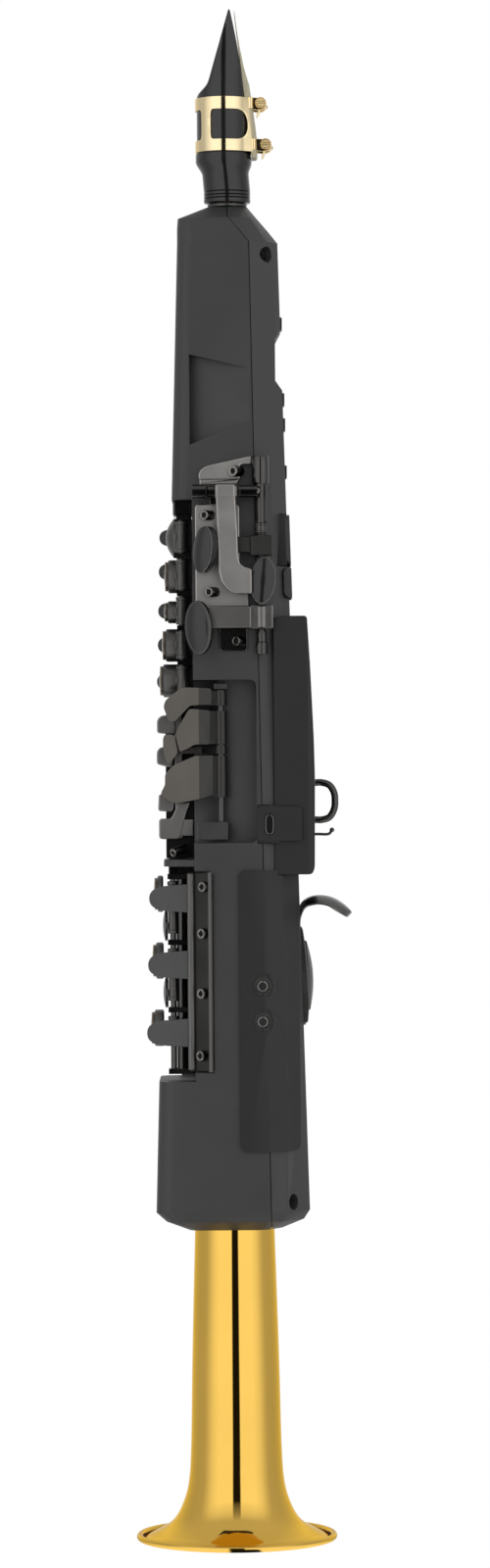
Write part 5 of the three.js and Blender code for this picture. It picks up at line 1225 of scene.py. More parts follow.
class WIND_OT_thumb_pieces(Piece):
    """Builds the octave key, the thumb rest, the saddle-shaped thumb hook and, on a short post, the
    rocking controller with its ribbed rim"""

    bl_idname = "wind.thumb_pieces"
    bl_label = "Thumb pieces"

    # The hook's middle line, and how far its edges sag at each place, in X and Z.
    line = ((32.5, 235.5), (31.6, 254), (30.8, 270), (30.3, 281), (30.7, 286.3), (32.0, 290.4), (35, 292.9),
            (39.6, 293.8), (45, 293), (50, 290.3), (54.5, 286.2))
    sag = (0, 0, 0, 0, 0.7, 1.8, 2.8, 3.0, 3.3, 3.6, 2.4)
    hook = {"half": 9.5, "thick": 1.6, "tip": 9.0, "foot": 5.0}
    seat = {"low": (31.9, 226.0), "high": (28.2, 302.0)}
    rocker = {"z": 257.7, "half": (9.4, 15.6), "gap": 0.95, "rim": 1.5, "dome": 2.1, "ribs": 64}
    # The rocker's post: its two half widths, low and high level, edge and rise.
    post = (5.0, 9.0, -0.3, 0.1, 0.1, 0.25)
    side = ((30.6, 236.4), (34.2, 236.4), (34.9, 245.8), (34.3, 258.6), (33.2, 272.2), (32.0, 280),
            (30.6, 280))
    cheek = ((20.2, 445), (26.1, 445), (25.5, 468.6), (19.6, 468.6))

    def make(self, scene):
        dress("octave_key", finishes["touch"], "touch", scene.wind_edges.thumb)
        cheeks = [side_plate(self.cheek, 1.0, inner, inner + 1.0, 0.3) for inner in (15.3, -16.3)]
        build("octave_key_cheeks", cheeks, finishes["trim"], body_of("back_shell"), "casing")
        dress("thumb_rest", finishes["touch"], "touch", scene.wind_edges.thumb)
        rows = np.column_stack([self.line, self.sag])
        path = smooth_path(rows, 90)
        run = np.concatenate([[0], np.cumsum(np.linalg.norm(np.diff(path[:, :2], axis=0), axis=1))])
        hook = self.hook
        tip = np.sqrt(1 - np.clip(1 - (run[-1] - run) / hook["tip"], 0, 0.995) ** 2)
        foot = np.sqrt(1 - np.clip(1 - run / hook["foot"], 0, 0.9) ** 2)
        half = hook["half"] * np.minimum(tip, 0.55 + 0.45 * foot)
        base = ellipse(hook["thick"] / 2, 1, columns=72, power=5)
        thick = np.sqrt(1 - np.clip(1 - (run[-1] - run) / 1.2, 0, 0.97) ** 2)[:, None]
        section = np.stack([base[:, :1].T * thick - path[:, 2:] * base[:, 1:].T ** 2,
                            half[:, None] * base[:, 1:].T], axis=-1)
        strip = swept(path[:, :2], section)
        sides = [side_plate(self.side, 1.5, inner, inner + 0.7, 0.25) for inner in (9.6, -10.3)]
        build("thumb_hook_piece", [strip, *sides], finishes["hook"], body_of("thumb_hook"), "key_metal",
              ["thumb_hook"])
        low, high = (np.array([x, 0, z]) for x, z in (self.seat["low"], self.seat["high"]))
        rocker = self.rocker
        up = (high - low) / np.linalg.norm(high - low)
        out = np.array([up[2], 0, -up[0]])
        share = (rocker["z"] - low[2]) / (high[2] - low[2])
        centre = low + (high - low) * share + out * (0.3 + hook["thick"])
        # The post under the controller is near-black: painted shade in the gap beneath it.
        post = cushion(*self.post, centre, (0, 1, 0), up, out)
        build("rocker_post_shade", [post], finishes["hollow"], body_of("thumb_hook"), "key_metal")
        foot_z, rim_z = rocker["gap"], rocker["gap"] + rocker["rim"]
        pad = cushion(*rocker["half"], foot_z, rim_z, 0.5, rocker["dome"], centre, (0, 1, 0), up, out,
                      columns=256,
                      ribs=(rocker["ribs"], 0.16))
        body = body_of("thumb_controller")
        build("thumb_controller_piece", [pad], finishes["touch"], body, "touch", ["thumb_controller"])


# Keywork.

def side_plate(points, radius, inner, outer, edge):
    """A plate that faces the player's left, from an outline in X and Z and two distances along -Y."""
    return plate(rounded_outline(points, radius), soft_levels(inner, outer, edge), (0, 0, 0), *SIDE)


def upright(profile, x, y, columns=40):
    """A turned piece on an upright axis."""
    return turned(profile, (x, y, 0), columns=columns)


def box_parts(rows):
    """Rounded boxes from rows of a low corner, a high corner and an edge radius."""
    return [rounded_box(low, high, radius) for low, high, radius in rows]


def tube_rows(low, high, radius, edge=0.3):
    """Profile of a plain tube with rounded ends."""
    return [(radius - edge, low), (radius, low + edge), (radius, high - edge), (radius - edge, high)]


class WIND_OT_palm_plate(Piece):
    """Builds the palm keys' plate with its raised wing, hinge tubes and four socket-head screws"""

    bl_idname = "wind.palm_plate"
    bl_label = "Palm key plate"

    main = ((-15.6, 424.3), (8.4, 424.3), (8.4, 443.2), (4.6, 443.2), (4.6, 472.6), (-15.6, 472.6))
    low = ((-5, 406), (8, 406), (8, 427), (-5, 427))
    wing = ((-13.8, 483.6), (-13.8, 487.2, 2.5), (-11, 489.8, 3), (10.2, 494.4), (10.2, 490.6), (5, 490.4),
            (5, 483.6))
    lip = ((-13.4, 481.2), (3.4, 481.2), (5, 484.2), (-13.6, 484.2))
    neck = ((-9, 470), (3.4, 470), (3.4, 484), (-9, 484))
    screws = ((1.6, 487.3, 2.55), (-11.6, 467.5, 2.3), (-9.7, 432.7, 2.3), (2.3, 410.5, 2.3))
    aim = (-0.6, -0.8, 0)
    heads = -31.0
    length = 5.6
    tubes = ((-16.9, -10.2, 3.3), (-10.0, -6.6, 2.8), (3.9, 5.1, 3.0), (4.8, 12.8, 2.75))
    hinge = (0, -33, 477.9)
    bearers = (((-14.8, -33, 475.9), (-10.0, -25, 479.9), 0.5),
               ((6.0, -33, 475.9), (10.4, -25, 479.9), 0.5))

    def make(self, scene):
        body = body_of("palm_plate")
        bright = [
            side_plate(self.main, 2.0, 22.4, 27.3, 0.5), side_plate(self.wing, 1.2, 22.4, 28.2, 0.5),
            side_plate(self.lip, 0.8, 24, 27.6, 0.7),
        ]
        build("palm_plate_piece", bright, finishes["arm"], body, "key_metal", ["palm_plate"])
        # The plate's low part under the third key's lever and its neck under the hinge tubes take the darker
        # rod metal: painted shade on the same plate.
        dark = [side_plate(self.low, 1.5, 22.4, 27.0, 0.5), side_plate(self.neck, 1.0, 22.4, 26.8, 0.4)]
        for left, right, radius in self.tubes:
            dark.append(turned(tube_rows(left, right, radius), self.hinge, (1, 0, 0), 40))
        dark += box_parts(self.bearers)
        build("palm_plate_tubes", dark, finishes["dark_keys"], body, "key_metal")
        aim, bolts = np.array(self.aim), []
        for x, z, radius in self.screws:
            start = np.array([x, self.heads, z]) - aim * self.length
            bolts.append(bolt(start, aim, radius, 0, self.length, 1.1))
        build_bolts("palm_screws", bolts, body, "key_metal")


class WIND_OT_palm_rod(Piece):
    """Builds the palm keys' upright rod, its hinge block with a flange, collars and feet"""

    bl_idname = "wind.palm_rod"
    bl_label = "Palm key rod"

    at = (14.2, -29.0)
    rod = (
        (1.4, 404.5), (2.5, 404.5), (2.7, 404.8), (2.7, 409.6), (2.3, 410.0), (2.3, 414.6), (1.8, 415.2),
        (1.8, 426.4), (0.9, 426.8), (0.9, 448.0), (1.8, 448.4), (1.8, 459.0), (2.9, 459.4), (2.9, 460.0),
        (2.6, 460.2), (2.6, 462.6), (2.9, 462.8), (2.9, 463.5), (2.0, 463.9), (2.0, 481.4), (3.6, 481.5),
        (3.9, 481.9), (3.9, 493.4), (3.4, 494.2),
    )
    block = (((10.3, -29.0, 481.5), (16.6, -22.6, 494.3), 0.6),
             ((15.7, -30.4, 464.2), (17.1, -22.4, 494.2), 0.5))
    feet = (((12.2, -28.1, 405), (16.2, -20.8, 415.4), 0.5),
            ((12.2, -28.1, 428), (16.2, -20.8, 448.6), 0.5))
    pin = {"rows": ((1.2, 0), (1.2, 4.4), (0.9, 4.7), (0, 4.7)), "place": (13.8, -29.5, 478.2),
           "aim": (-0.3, -1, 0)}

    def make(self, scene):
        parts = [upright(self.rod, *self.at), *box_parts(self.block), *box_parts(self.feet)]
        body = body_of("palm_rod")
        build("palm_rod_piece", parts, finishes["dark_keys"], body, "key_metal", ["palm_rod"])
        pin = turned(self.pin["rows"], self.pin["place"], self.pin["aim"], 24)
        build("palm_rod_pin", [pin], finishes["screws"], body, "key_metal")


class WIND_OT_palm_lever(Piece):
    """Builds the first palm key: a hinge barrel, an L-shaped arm with a crease across it, and an
    oval touch"""

    bl_idname = "wind.palm_lever"
    bl_label = "First palm key"

    left = ((431.4, 3.6), (432.2, 1.0), (434.2, -1.6), (437.5, -3.9), (442, -4.9), (447, -5.0), (481, -6.2))
    right = ((431.4, 9.4), (432.2, 10.0), (442.4, 10.0), (443.0, 9.0), (443.6, 6.8), (445.1, 4.8),
             (448.2, 3.9), (460, 3.6), (470, 3.0), (481, 2.6))
    spans = ((431.4, 448.4, 40), (449, 481.0, 44))
    crease = {"high": 468.6, "low": 459.0, "rise": 1.1}
    bend = {"from": 470, "over": 10, "rise": 0.5}
    face, thick, edge = -35.6, 2.0, 0.6
    barrel = (-6.4, 3.5, 3.1)
    hinge = (0, -33, 477.9)
    bridge = (((-6.0, -36.2, 475.4), (2.6, -33, 480.8), 0.6),)
    touch = {"place": (15.0, -36.4, 437.6), "halves": (5.5, 10.4), "lean": -6.0, "aim": 0.0, "depth": 1.1}

    def make(self, scene):
        crease, bend = self.crease, self.bend
        z = np.concatenate([np.linspace(*span) for span in self.spans])
        left = np.interp(z, *np.array(self.left).T)
        right = np.interp(z, *np.array(self.right).T)
        past = np.clip((crease["high"] - z) / (crease["high"] - crease["low"]), 0, 1)
        above = np.clip((z - bend["from"]) / bend["over"], 0, 1)
        front = self.face - crease["rise"] * (1 - (1 - past) ** 2) - bend["rise"] * above**2
        arm = slats(z, left, right, front, front + self.thick, self.edge)
        barrel = turned(tube_rows(*self.barrel), self.hinge, (1, 0, 0), 40)
        body = body_of("palm_key_1")
        parts = [arm, barrel, *box_parts(self.bridge)]
        build("palm_key_1_piece", parts, finishes["arm"], body, "key_metal", ["palm_key_1"])
        oval_touch("palm_key_1_touch", body, **self.touch)


def oval_touch(name, body, place, halves, lean, aim, depth, base=None):
    """A crowned oval finger touch that faces the player's left, turned forward by an angle. Its
    stem goes back by a depth, and a base, where given, is a wider and brighter oval behind it."""
    turn = math.radians(aim)
    n = np.array([-math.sin(turn), -math.cos(turn), 0])
    u = np.array([math.cos(turn), -math.sin(turn), 0])
    place = np.array(place, float)
    pad = cushion(*halves, -depth, 0, 0.55, 1.3, place - n * 1.3, u, (0, 0, 1), n, lean, columns=80)
    build(name, [pad], finishes["pearl"], body, "key_metal")
    rim = [(0.15, -1.98), (0.0, -1.93), (-0.08, -1.85), (0.0, -1.77), (0.15, -1.72)]
    ring = plate(ellipse(*halves, lean, 80), rim, place, u, (0, 0, 1), n)
    build(f"{name}_rim", [ring], finishes["arm"], body, "key_metal")
    if base:
        disc = cushion(halves[0] + 0.9, halves[1] + 0.8, -base, 3 - base, 0.6, 0.2, place, u, (0, 0, 1), n,
                       lean)
        build(f"{name}_base", [disc], finishes["dark_keys"], body, "key_metal")


class WIND_OT_palm_touches(Piece):
    """Builds the second and third palm keys: a barrel on the rod, a lever and an oval touch that is
    turned forward"""

    bl_idname = "wind.palm_touches"
    bl_label = "Second and third palm keys"

    # The second palm key takes the dark plate metal: painted shade where it lies in the gap behind the first
    # key's arm.
    finish = {"palm_key_2": "plate", "palm_key_3": "lever"}
    barrels = {"palm_key_2": (448.6, 458.6), "palm_key_3": (416.2, 426.2)}
    levers = {
        "palm_key_2": (((9.4, -32.4, 448.9), (19.8, -28.6, 458.0), 0.8),
                       ((-10, -31, 450.4), (14.2, -29.5, 457.6), 0.5)),
        "palm_key_3": (((-10, -33.4, 416.2), (9.8, -30.4, 426.2), 0.8),
                       ((9.4, -31.6, 415.9), (19.6, -29.6, 426.8), 0.7)),
    }
    touches = {
        "palm_key_2": {"place": (-13.4, -38.0, 451.6), "halves": (5.4, 10.6), "lean": -9.0, "aim": 40.0,
                       "depth": 4.9},
        "palm_key_3": {
            "place": (-15.4, -38.4, 416.4), "halves": (5.8, 11.4), "lean": 4.0, "aim": 28.0,
            "depth": 4.6, "base": 4.6,
        },
    }

    def make(self, scene):
        for name, (low, high) in self.barrels.items():
            barrel = upright([(2.6, low), (3.2, low + 0.4), (3.2, high - 0.4), (2.6, high)],
                             *WIND_OT_palm_rod.at)
            body, parts = body_of(name), [barrel, *box_parts(self.levers[name])]
            build(f"{name}_piece", parts, finishes[self.finish[name]], body, "key_metal", [name])
            oval_touch(f"{name}_touch", body, **self.touches[name])


def button(x_back, x_front, radius, pearl, z):
    """Profiles, about the axis that points to the front, of a stack key's cup with its rim, and of
    its pearl. Without a pearl radius the cup itself is crowned."""
    tall = x_back - x_front
    place = (x_back, 0, z)
    if not pearl:
        crown = np.cos(np.linspace(0, math.pi / 2, 14))[1:-1]
        rows = [(radius - 0.5, 0), (radius, 0.5), (radius + 0.1, 1.5), (radius - 0.1, 2.1)]
        rows += [((radius - 0.3) * s, 2.2 + (tall - 2.2) * (1 - s**2)) for s in crown]
        return turned(rows, place, (-1, 0, 0), 72), None
    rise = tall - 1.7
    cup = [(radius - 0.6, 0), (radius, 0.6), (radius, rise - 0.9), (radius - 0.25, rise - 0.3),
           (radius - 0.8, rise), (pearl + 0.55, rise), (pearl + 0.55, rise + 0.9), (pearl + 0.2, rise + 1.0)]
    face = [(pearl + 0.25, rise - 0.2), (pearl + 0.25, rise + 0.75), (pearl, rise + 1.05)]
    face += [(pearl * s, rise + 1.1 + 0.6 * (1 - s**2)) for s in np.linspace(0.94, 0.06, 9)]
    return turned(cup, place, (-1, 0, 0), 72), turned(face, place, (-1, 0, 0), 72)


class WIND_OT_stack_keys(Piece):
    """Builds the eight stack keys: cups with pearls, arms, barrels with end collars and pads"""

    bl_idname = "wind.stack_keys"
    bl_label = "Stack keys"

    left = {
        "z": (458.4, 440.9, 424.6, 409.4, 393.2), "radius": (9.0, 7.6, 5.1, 7.5, 7.6),
        "front": (-29.3, -30.1, -30.4, -31.4, -32.7), "back": -23.6, "rod": (-22, -13),
        "span": (468.4, 382.6), "arm": ((-25.2, -14), (-23.3, 1)),
    }
    right = {
        "z": (295.7, 265.1, 234.3), "radius": (8.4, 8.4, 8.4), "front": (-36.0, -36.9, -37.7),
        "back": -31.6, "rod": (-27, -12.5), "arm": ((-31.4, -13.5), (-29.6, 1)),
        "drop": 14.4, "pad": (7.2, -29.6, -31.9), "pad_arm": ((-30.9, -13.5), (-29.2, 1)),
    }
    runners = ((-23.0, -9.4, 2.2), (-27.2, -8.6, 1.1))
    runner_ends = (214.4, 304.8)
    block = (((-25.8, -12, 468.2), (-17.2, 10, 475.2), 0.8),)

    def arm(self, corners, z):
        """The flat arm of a key at a height, from two corners in X and Y."""
        low, high = corners
        return rounded_box((*low, z - 1.7), (*high, z + 1.7), 0.6)

    def barrel(self, rod, low, high, radius):
        """A tube on a rod with a slightly wider collar at each end."""
        rows = [(1.8, low), (radius, low + 0.2), (radius, low + 1.6), (radius - 0.3, low + 1.8),
                (radius - 0.3, high - 1.8), (radius, high - 1.6), (radius, high - 0.2), (1.8, high)]
        return upright(rows, *rod)

    def make(self, scene):
        left, right = self.left, self.right
        for name in ("left_hand_rod", "right_hand_rod"):
            dress(name, finishes["dark_keys"], "key_metal", scene.wind_edges.rod)
        runners = [upright(tube_rows(*self.runner_ends, radius), x, y) for x, y, radius in self.runners]
        build("right_hand_runners", runners, finishes["dark_keys"], body_of("right_hand_rod"), "key_metal")
        build("left_hand_block", box_parts(self.block), finishes["dark_keys"], body_of("left_hand_rod"),
              "key_metal")
        top, foot = left["span"]
        z = np.array(left["z"])
        posts = np.concatenate([[top - 1.2], (z[1:] + z[:-1]) / 2, [foot + 1.2]])
        for at, (height, radius, front) in enumerate(zip(z, left["radius"], left["front"])):
            name = f"left_hand_key_{at + 1}"
            pearl = 0 if at == 0 else radius - 1.5
            tube = self.barrel(left["rod"], posts[at + 1] + 1.5, posts[at] - 1.5, 2.7)
            parts = [tube, self.arm(left["arm"], height)]
            self.key(name, left["back"], front, radius, pearl, height, parts)
        drop = right["drop"]
        spans = [(height - drop - 3.6, height + 6) for height in right["z"][:-1]]
        spans.append((right["z"][-1] - 7, right["z"][-1] + 6))
        for at, (height, radius, front) in enumerate(zip(right["z"], right["radius"], right["front"])):
            name = f"right_hand_key_{at + 1}"
            parts = [self.barrel(right["rod"], *spans[at], 2.6), self.arm(right["arm"], height)]
            if at < 2:
                size, back, tip = right["pad"]
                rows = [(size - 0.5, 0), (size, 0.5), (size, 1.2)]
                crown = np.linspace(0.95, 0.05, 8)
                rows += [(size * s, 1.2 + (back - tip - 1.2) * (1 - s**2)) for s in crown]
                parts.append(turned(rows, (back, 0, height - drop), (-1, 0, 0), 64))
                parts.append(self.arm(right["pad_arm"], height - drop))
            self.key(name, right["back"], front, radius, radius - 1.7, height, parts)

    def key(self, name, back, front, radius, pearl, height, parts):
        """One stack key: its cup and other parts as one object, its pearl as another."""
        cup, face = button(back, front, radius, pearl, height)
        body = body_of(name)
        build(f"{name}_piece", [cup, *parts], finishes["cups"], body, "touch", [name], 34)
        if face:
            build(f"{name}_pearl", [face], finishes["pearl"], body, "touch")
            ring = [(pearl + 0.3, -0.4), (pearl + 0.62, -0.3), (pearl + 0.62, 0.15), (pearl + 0.3, 0.3)]
            band = turned(ring, (front + 0.7, 0, height), (-1, 0, 0), 72)
            build(f"{name}_ring", [band], finishes["rings"], body, "touch")


class WIND_OT_table_keys(Piece):
    """Builds the four little-finger table keys and their bracket, and the comb of tabs in front"""

    bl_idname = "wind.table_keys"
    bl_label = "Table keys"

    tabs = (
        ((-33.8, 369.2), (-25.2, 368.4), (-25.2, 376.6), (-31.6, 377.4), (-33.8, 375.4)),
        ((-34, 355), (-27, 353.2), (-25.6, 361.6), (-32.2, 363), (-34, 361)),
        ((-33.6, 333.6), (-26.8, 333.2), (-25.8, 341), (-33.2, 341.4)),
        ((-33.2, 320.8, 1.6), (-23.8, 320.6, 1.6), (-20.6, 332.8, 0.6), (-18.8, 337.8, 0.6),
         (-24.2, 337.8, 1), (-27.6, 330.2, 1.5), (-33.2, 330.2, 1.6)),
    )
    comb = ((-25.8, 321), (-22.4, 321), (-22.4, 377.6), (-25.8, 377.6))
    latch = (((-24.6, -7.5, 322), (-17.4, -5.9, 330), 0.5),)
    shade_backing = (((-30, -5.7, 312), (-16.9, -4.2, 377.6), 0.4), ((-23, -5.7, 376), (-16.9, -4.2, 383), 0.4))
    foot = (((-31, -13.5, 309.9), (-14.2, -5.4, 311.2), 0.4), ((-29, -9.2, 302.4), (-17, -5.6, 312.4), 0.4))
    screw = {"place": (-26.9, -15.5, 314.4), "aim": (-0.72, -0.62, -0.3), "length": 8, "radius": 2.1}
    # Faces of the table keys behind this place along X are painted with shade.
    shade_from_x = -15.3

    def make(self, scene):
        edge = scene.wind_edges.table
        dress("table_bracket", finishes["dark_steel"], "key_metal", edge)
        # Faces behind a line across the recess take the dark plate metal: painted shade deep in the recess.
        for name in [f"table_key_{n}" for n in range(1, 5)]:
            mesh = dress(name, finishes["table"], "key_metal", edge).data
            mesh.materials.append(finishes["plate"])
            centre = np.empty(3 * len(mesh.polygons))
            mesh.polygons.foreach_get("center", centre)
            dark = centre[::3] > (self.shade_from_x + AXIS_X) * MM
            mesh.polygons.foreach_set("material_index", dark.astype(np.int32))
        body = body_of("table_guard")
        parts = [side_plate(tab, 1.3, 5.9, 7.7, 0.5) for tab in self.tabs]
        parts.append(side_plate(self.comb, 1.0, 5.8, 7.3, 0.4))
        build("table_guard_piece", [*parts, *box_parts(self.latch)], finishes["keys"], body, "key_metal",
              ["table_guard"])
        # Near-black sheets behind the tabs and keys: painted shade that closes the view through to the
        # background.
        build("table_guard_shade", box_parts(self.shade_backing), finishes["hollow"], body, "key_metal")
        aim, length = np.array(self.screw["aim"]), self.screw["length"]
        start = np.array(self.screw["place"]) - aim * length
        screw = bolt(start, aim, self.screw["radius"], 0, length, 0.9)
        build_bolts("table_screw", [screw], body, "key_metal")
        build("table_foot", box_parts(self.foot), finishes["dark_keys"], body, "key_metal")


class WIND_OT_guards(Piece):
    """Builds the two finger guards: round-tipped fins, and on the right a rail and a screwed plate
    with a lip"""

    bl_idname = "wind.guards"
    bl_label = "Finger guards"

    left = {"z": (459.3, 443.6, 425.6, 409.9, 393.1), "tip": (-32.4, -32.8, -33.2, -33.5, -34),
            "tip_half": 3.7}
    right = {"z": (294, 263.8, 232.9), "tip": (-37.7, -38.4, -39.1), "tip_half": 4.3}
    across, out = np.array([1, -1, 0]) / math.sqrt(2), np.array([-1, -1, 0]) / math.sqrt(2)
    chamfer = (-17.3, -20.0, 0)
    span = (215.4, 305.8)
    screws = ((-10.7, 299.3), (-11.2, 278.1), (-11.5, 250.9), (-12.0, 222.7))
    foot = (((-18.8, 12.6, 384), (-17.3, 22, 468), 0.4),)
    plate_x = (-0.4, 12.9)
    lip_x = (11.7, 12.9)
    notch = {"x": (-20.5, -16.9), "y": (-22.6, -20.4), "below": (7.6, 6.6)}

    def fins(self, sizes, root, root_half, inner, outer):
        """Fins from a root line to round tips."""
        half, plates = sizes["tip_half"], []
        waist, shoulder = root_half * 0.86, half * 0.7
        for z, tip in zip(sizes["z"], sizes["tip"]):
            rise = ((root, root_half, 1.0), (tip + 5, waist, 5), (tip, shoulder, half))
            points = [(x, z - up, radius) for x, up, radius in rise]
            points += [(x, z + up, radius) for x, up, radius in rise[::-1]]
            plates.append(side_plate(points, 1, inner, outer, 0.35))
        return plates

    def make(self, scene):
        low, high = self.span
        parts = [*box_parts(self.foot), *self.fins(self.left, -18.6, 5.0, -14.2, -12.6)]
        body = body_of("left_hand_guard")
        build("left_hand_guard_piece", parts, finishes["guard"], body, "touch", ["left_hand_guard"])
        body = body_of("right_hand_guard")
        fins = self.fins(self.right, -19.4, 6.5, 20.6, 22.2)
        build("right_hand_fins", fins, finishes["guard"], body, "key_metal", ["right_hand_guard"])
        rail = [rounded_box((-20.4, -23.4, low), (-17.2, -20.3, high), 1.1)]
        (start, end), (lip_start, lip_end), notch = self.plate_x, self.lip_x, self.notch
        outline = rounded_outline([(start, low), (end, low), (end, high), (start, high)], 0.6)
        lip = rounded_outline([(lip_start, low), (lip_end, low), (lip_end, high), (lip_start, high)], 0.3)
        axes = (self.chamfer, self.across, (0, 0, 1), self.out)
        rail.append(plate(lip, soft_levels(0.4, 3.2, 0.35), *axes))
        build("right_hand_rail", rail, finishes["rail"], body, "key_metal")
        sheet = plate(outline, soft_levels(0.35, 1.8, 0.4), *axes)
        build("right_hand_plate", [sheet], finishes["plate"], body, "key_metal")
        bolts = [bolt((x, -37.3 - x, z), self.out, 2.45, 1.5, 4.6, 1.1) for x, z in self.screws]
        build_bolts("right_hand_screws", bolts, body, "key_metal")
        # Near-black boxes under each fin's root: painted shade in the notches.
        (left, right), (near, far), (bottom, top) = notch["x"], notch["y"], notch["below"]
        rows = [((left, near, z - bottom), (right, far, z - top), 0.3) for z in self.right["z"]]
        notches = box_parts(rows)
        build("right_hand_notch_shade", notches, finishes["hollow"], body, "key_metal")


class WIND_OT_far_keys(Piece):
    """Builds the far side's rod, side keys and low keys"""

    bl_idname = "wind.far_keys"
    bl_label = "Far side keys"

    def make(self, scene):
        names = ["far_side_rod"] + [f"side_key_{n}" for n in range(1, 4)] + ["low_key_1", "low_key_2"]
        for name in names:
            dress(name, finishes["keys"], "key_metal", scene.wind_edges.far)


class WIND_OT_inner_pieces(Piece):
    """Builds the loudspeaker and circuit board inside the casing"""

    bl_idname = "wind.inner_pieces"
    bl_label = "Inner pieces"

    def make(self, scene):
        dress("speaker", finishes["dark_steel"], "bare_steel")
        dress("main_board", finishes["board"], "circuit_board")


# The stage.

# Brightness round the studio, by the angle from the camera's side as a share of half a turn.
RING = ((0.0, 0.01), (0.045, 0.01), (0.056, 1.0), (0.25, 1.0), (0.34, 0.85), (0.42, 0.6), (0.48, 0.46),
        (0.62, 0.44), (0.72, 0.5), (0.82, 0.62), (0.9, 0.75), (1.0, 0.5))
LEVEL = 1.2


def studio_ring(nodes, vector):
    """The colour of a ring of soft panels round the object, read from the angle, seen from above,
    between a vector and the camera's side, and brought to a soft grey overhead."""
    parts = socket(nodes, "ShaderNodeSeparateXYZ", Vector=vector).node
    side = math_node(nodes, "ABSOLUTE", parts.outputs[0])
    ahead = math_node(nodes, "MULTIPLY", parts.outputs[1], -1.0)
    share = math_node(nodes, "DIVIDE", math_node(nodes, "ARCTAN2", side, ahead), math.pi)
    ramp = socket(nodes, "ShaderNodeValToRGB", Fac=share)
    elements = ramp.node.color_ramp.elements
    while len(elements) < len(RING):
        elements.new(0.5)
    for element, (position, level) in zip(elements, RING):
        element.position = position
        element.color = (level, level, level, 1)
    overhead = socket(nodes, "ShaderNodeMapRange", Value=parts.outputs[2], From_Min=0.45, From_Max=0.8)
    return mixed(nodes, overhead, ramp, (0.5, 0.5, 0.5, 1))


def studio_world(scene):
    """White to the camera, and the ring of panels to everything else."""
    world = bpy.data.worlds.new("studio")
    world.use_nodes = True
    nodes = world.node_tree.nodes
    nodes.clear()
    path = nodes.new("ShaderNodeLightPath")
    seen = math_node(nodes, "MAXIMUM", path.outputs["Is Camera Ray"], path.outputs["Is Transmission Ray"])
    ring = studio_ring(nodes, socket(nodes, "ShaderNodeTexCoord"))
    level = socket(nodes, "ShaderNodeMapRange", Value=seen, To_Min=LEVEL, To_Max=1.0)
    tint = mixed(nodes, seen, ring, (1, 1, 1, 1))
    studio = socket(nodes, "ShaderNodeBackground", Color=tint, Strength=level)
    out = nodes.new("ShaderNodeOutputWorld")
    world.node_tree.links.new(studio, out.inputs[0])
    scene.world = world


def floor_finish():
    """Pale paper that lights itself for the camera and in reflections, where it shows the ring of
    panels, and that still takes the object's shadow in the rest of its share."""
    made = Finish("floor_paper", (0.8, 0.8, 0.8))
    nodes = made.nodes
    fibre = made.noise(60, 3)
    made.tint(made.spread(fibre, 0, 1), 0.99, 1.01)
    made.rough(made.spread(fibre, 0.85, 0.95))
    made.bump(fibre, 0.05, 0.02)
    path = nodes.new("ShaderNodeLightPath")
    kinds = ("Camera", "Glossy", "Transmission")
    camera, glossy, clear = (path.outputs[f"Is {kind} Ray"] for kind in kinds)
    colour = mixed(nodes, camera, studio_ring(nodes, made.where), (1, 1, 1, 1))
    level = socket(nodes, "ShaderNodeMapRange", Value=camera, To_Min=LEVEL, To_Max=1.10)
    glow = socket(nodes, "ShaderNodeEmission", Color=colour, Strength=level)
    share = math_node(nodes, "MAXIMUM", math_node(nodes, "MULTIPLY", camera, 0.84), glossy)
    share = math_node(nodes, "MAXIMUM", share, clear)
    mix = nodes.new("ShaderNodeMixShader")
    made.links.new(share, mix.inputs[0])
    made.links.new(made.shader.outputs[0], mix.inputs[1])
    made.links.new(glow, mix.inputs[2])
    made.links.new(mix.outputs[0], nodes["Material Output"].inputs[0])
    return made.material


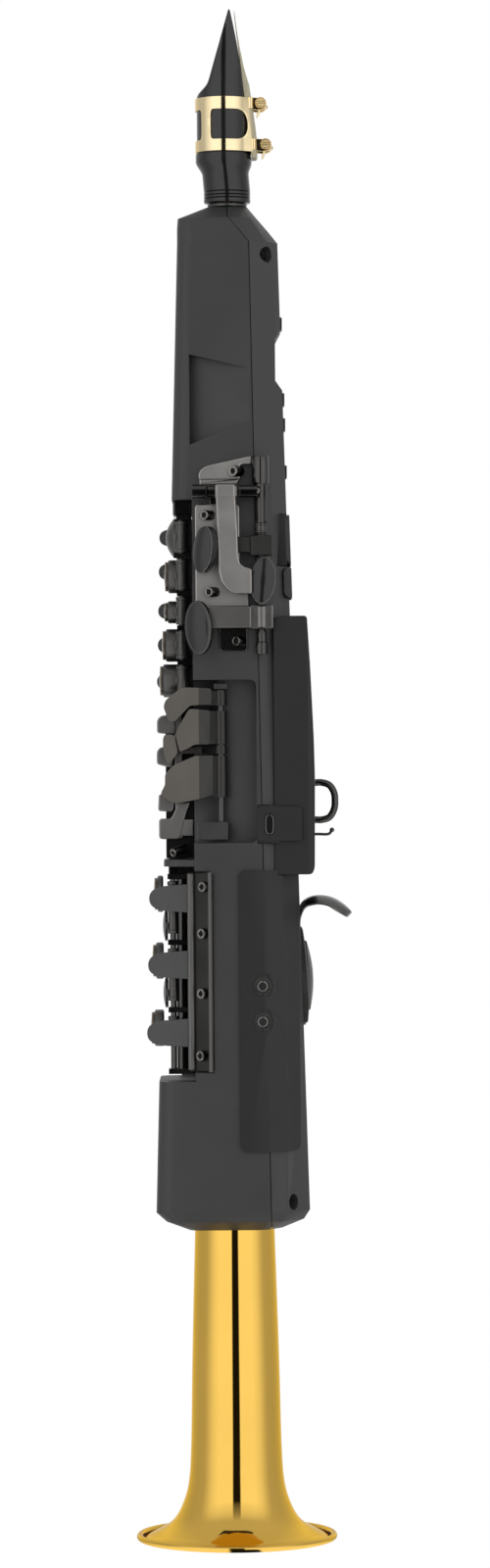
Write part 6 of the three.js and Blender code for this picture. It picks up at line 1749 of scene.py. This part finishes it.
class WIND_OT_stage(Piece):
    """Builds the floor, the studio light and the camera"""

    bl_idname = "wind.stage"
    bl_label = "Stage"

    def make(self, scene):
        sizes = scene.wind_stage
        half = sizes.floor
        mesh = bpy.data.meshes.new("floor")
        corners = [(-half, -half, 0), (half, -half, 0), (half, half, 0), (-half, half, 0)]
        mesh.from_pydata(corners, [], [(0, 1, 2, 3)])
        mesh.materials.append(floor_finish())
        floor = bpy.data.objects.new("floor", mesh)
        scene.collection.objects.link(floor)
        studio_world(scene)
        data = bpy.data.cameras.new("camera")
        data.sensor_fit = "VERTICAL"
        data.sensor_height = 36
        data.lens = sizes.lens
        data.clip_end = 100
        camera = bpy.data.objects.new("camera", data)
        camera.location = (sizes.side, -sizes.distance, sizes.height)
        camera.rotation_euler = (math.pi / 2, sizes.roll, 0)
        scene.collection.objects.link(camera)
        scene.camera = camera
        scene.view_settings.view_transform = "Standard"


OPERATORS = [
    WIND_OT_mouthpiece,
    WIND_OT_reed,
    WIND_OT_ligature,
    WIND_OT_ligature_screws,
    WIND_OT_neck,
    WIND_OT_bell,
    WIND_OT_casing,
    WIND_OT_housing,
    WIND_OT_panel,
    WIND_OT_loops,
    WIND_OT_controls,
    WIND_OT_thumb_pieces,
    WIND_OT_palm_plate,
    WIND_OT_palm_rod,
    WIND_OT_palm_lever,
    WIND_OT_palm_touches,
    WIND_OT_stack_keys,
    WIND_OT_table_keys,
    WIND_OT_guards,
    WIND_OT_far_keys,
    WIND_OT_inner_pieces,
    WIND_OT_stage,
]


class WIND_PT_panel(bpy.types.Panel):
    """Lists the builders and the sizes that they read"""

    bl_label = "Wind Controller"
    bl_idname = "WIND_PT_panel"
    bl_space_type = "VIEW_3D"
    bl_region_type = "UI"
    bl_category = "Wind Controller"

    def draw(self, context):
        for name in GROUPS:
            group = getattr(context.scene, name)
            box = self.layout.box()
            for key in group.__annotations__:
                box.prop(group, key)
        for operator in OPERATORS:
            self.layout.operator(operator.bl_idname)


def register():
    for group in GROUPS.values():
        bpy.utils.register_class(group)
    for name, group in GROUPS.items():
        setattr(bpy.types.Scene, name, bpy.props.PointerProperty(type=group))
    for made in [*OPERATORS, WIND_PT_panel]:
        bpy.utils.register_class(made)


def unregister():
    for made in [*OPERATORS, WIND_PT_panel]:
        bpy.utils.unregister_class(made)
    for name, group in GROUPS.items():
        delattr(bpy.types.Scene, name)
        bpy.utils.unregister_class(group)


def main():
    register()
    for operator in OPERATORS:
        group, name = operator.bl_idname.split(".")
        getattr(getattr(bpy.ops, group), name)()
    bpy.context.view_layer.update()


if __name__ == "__main__":
    main()
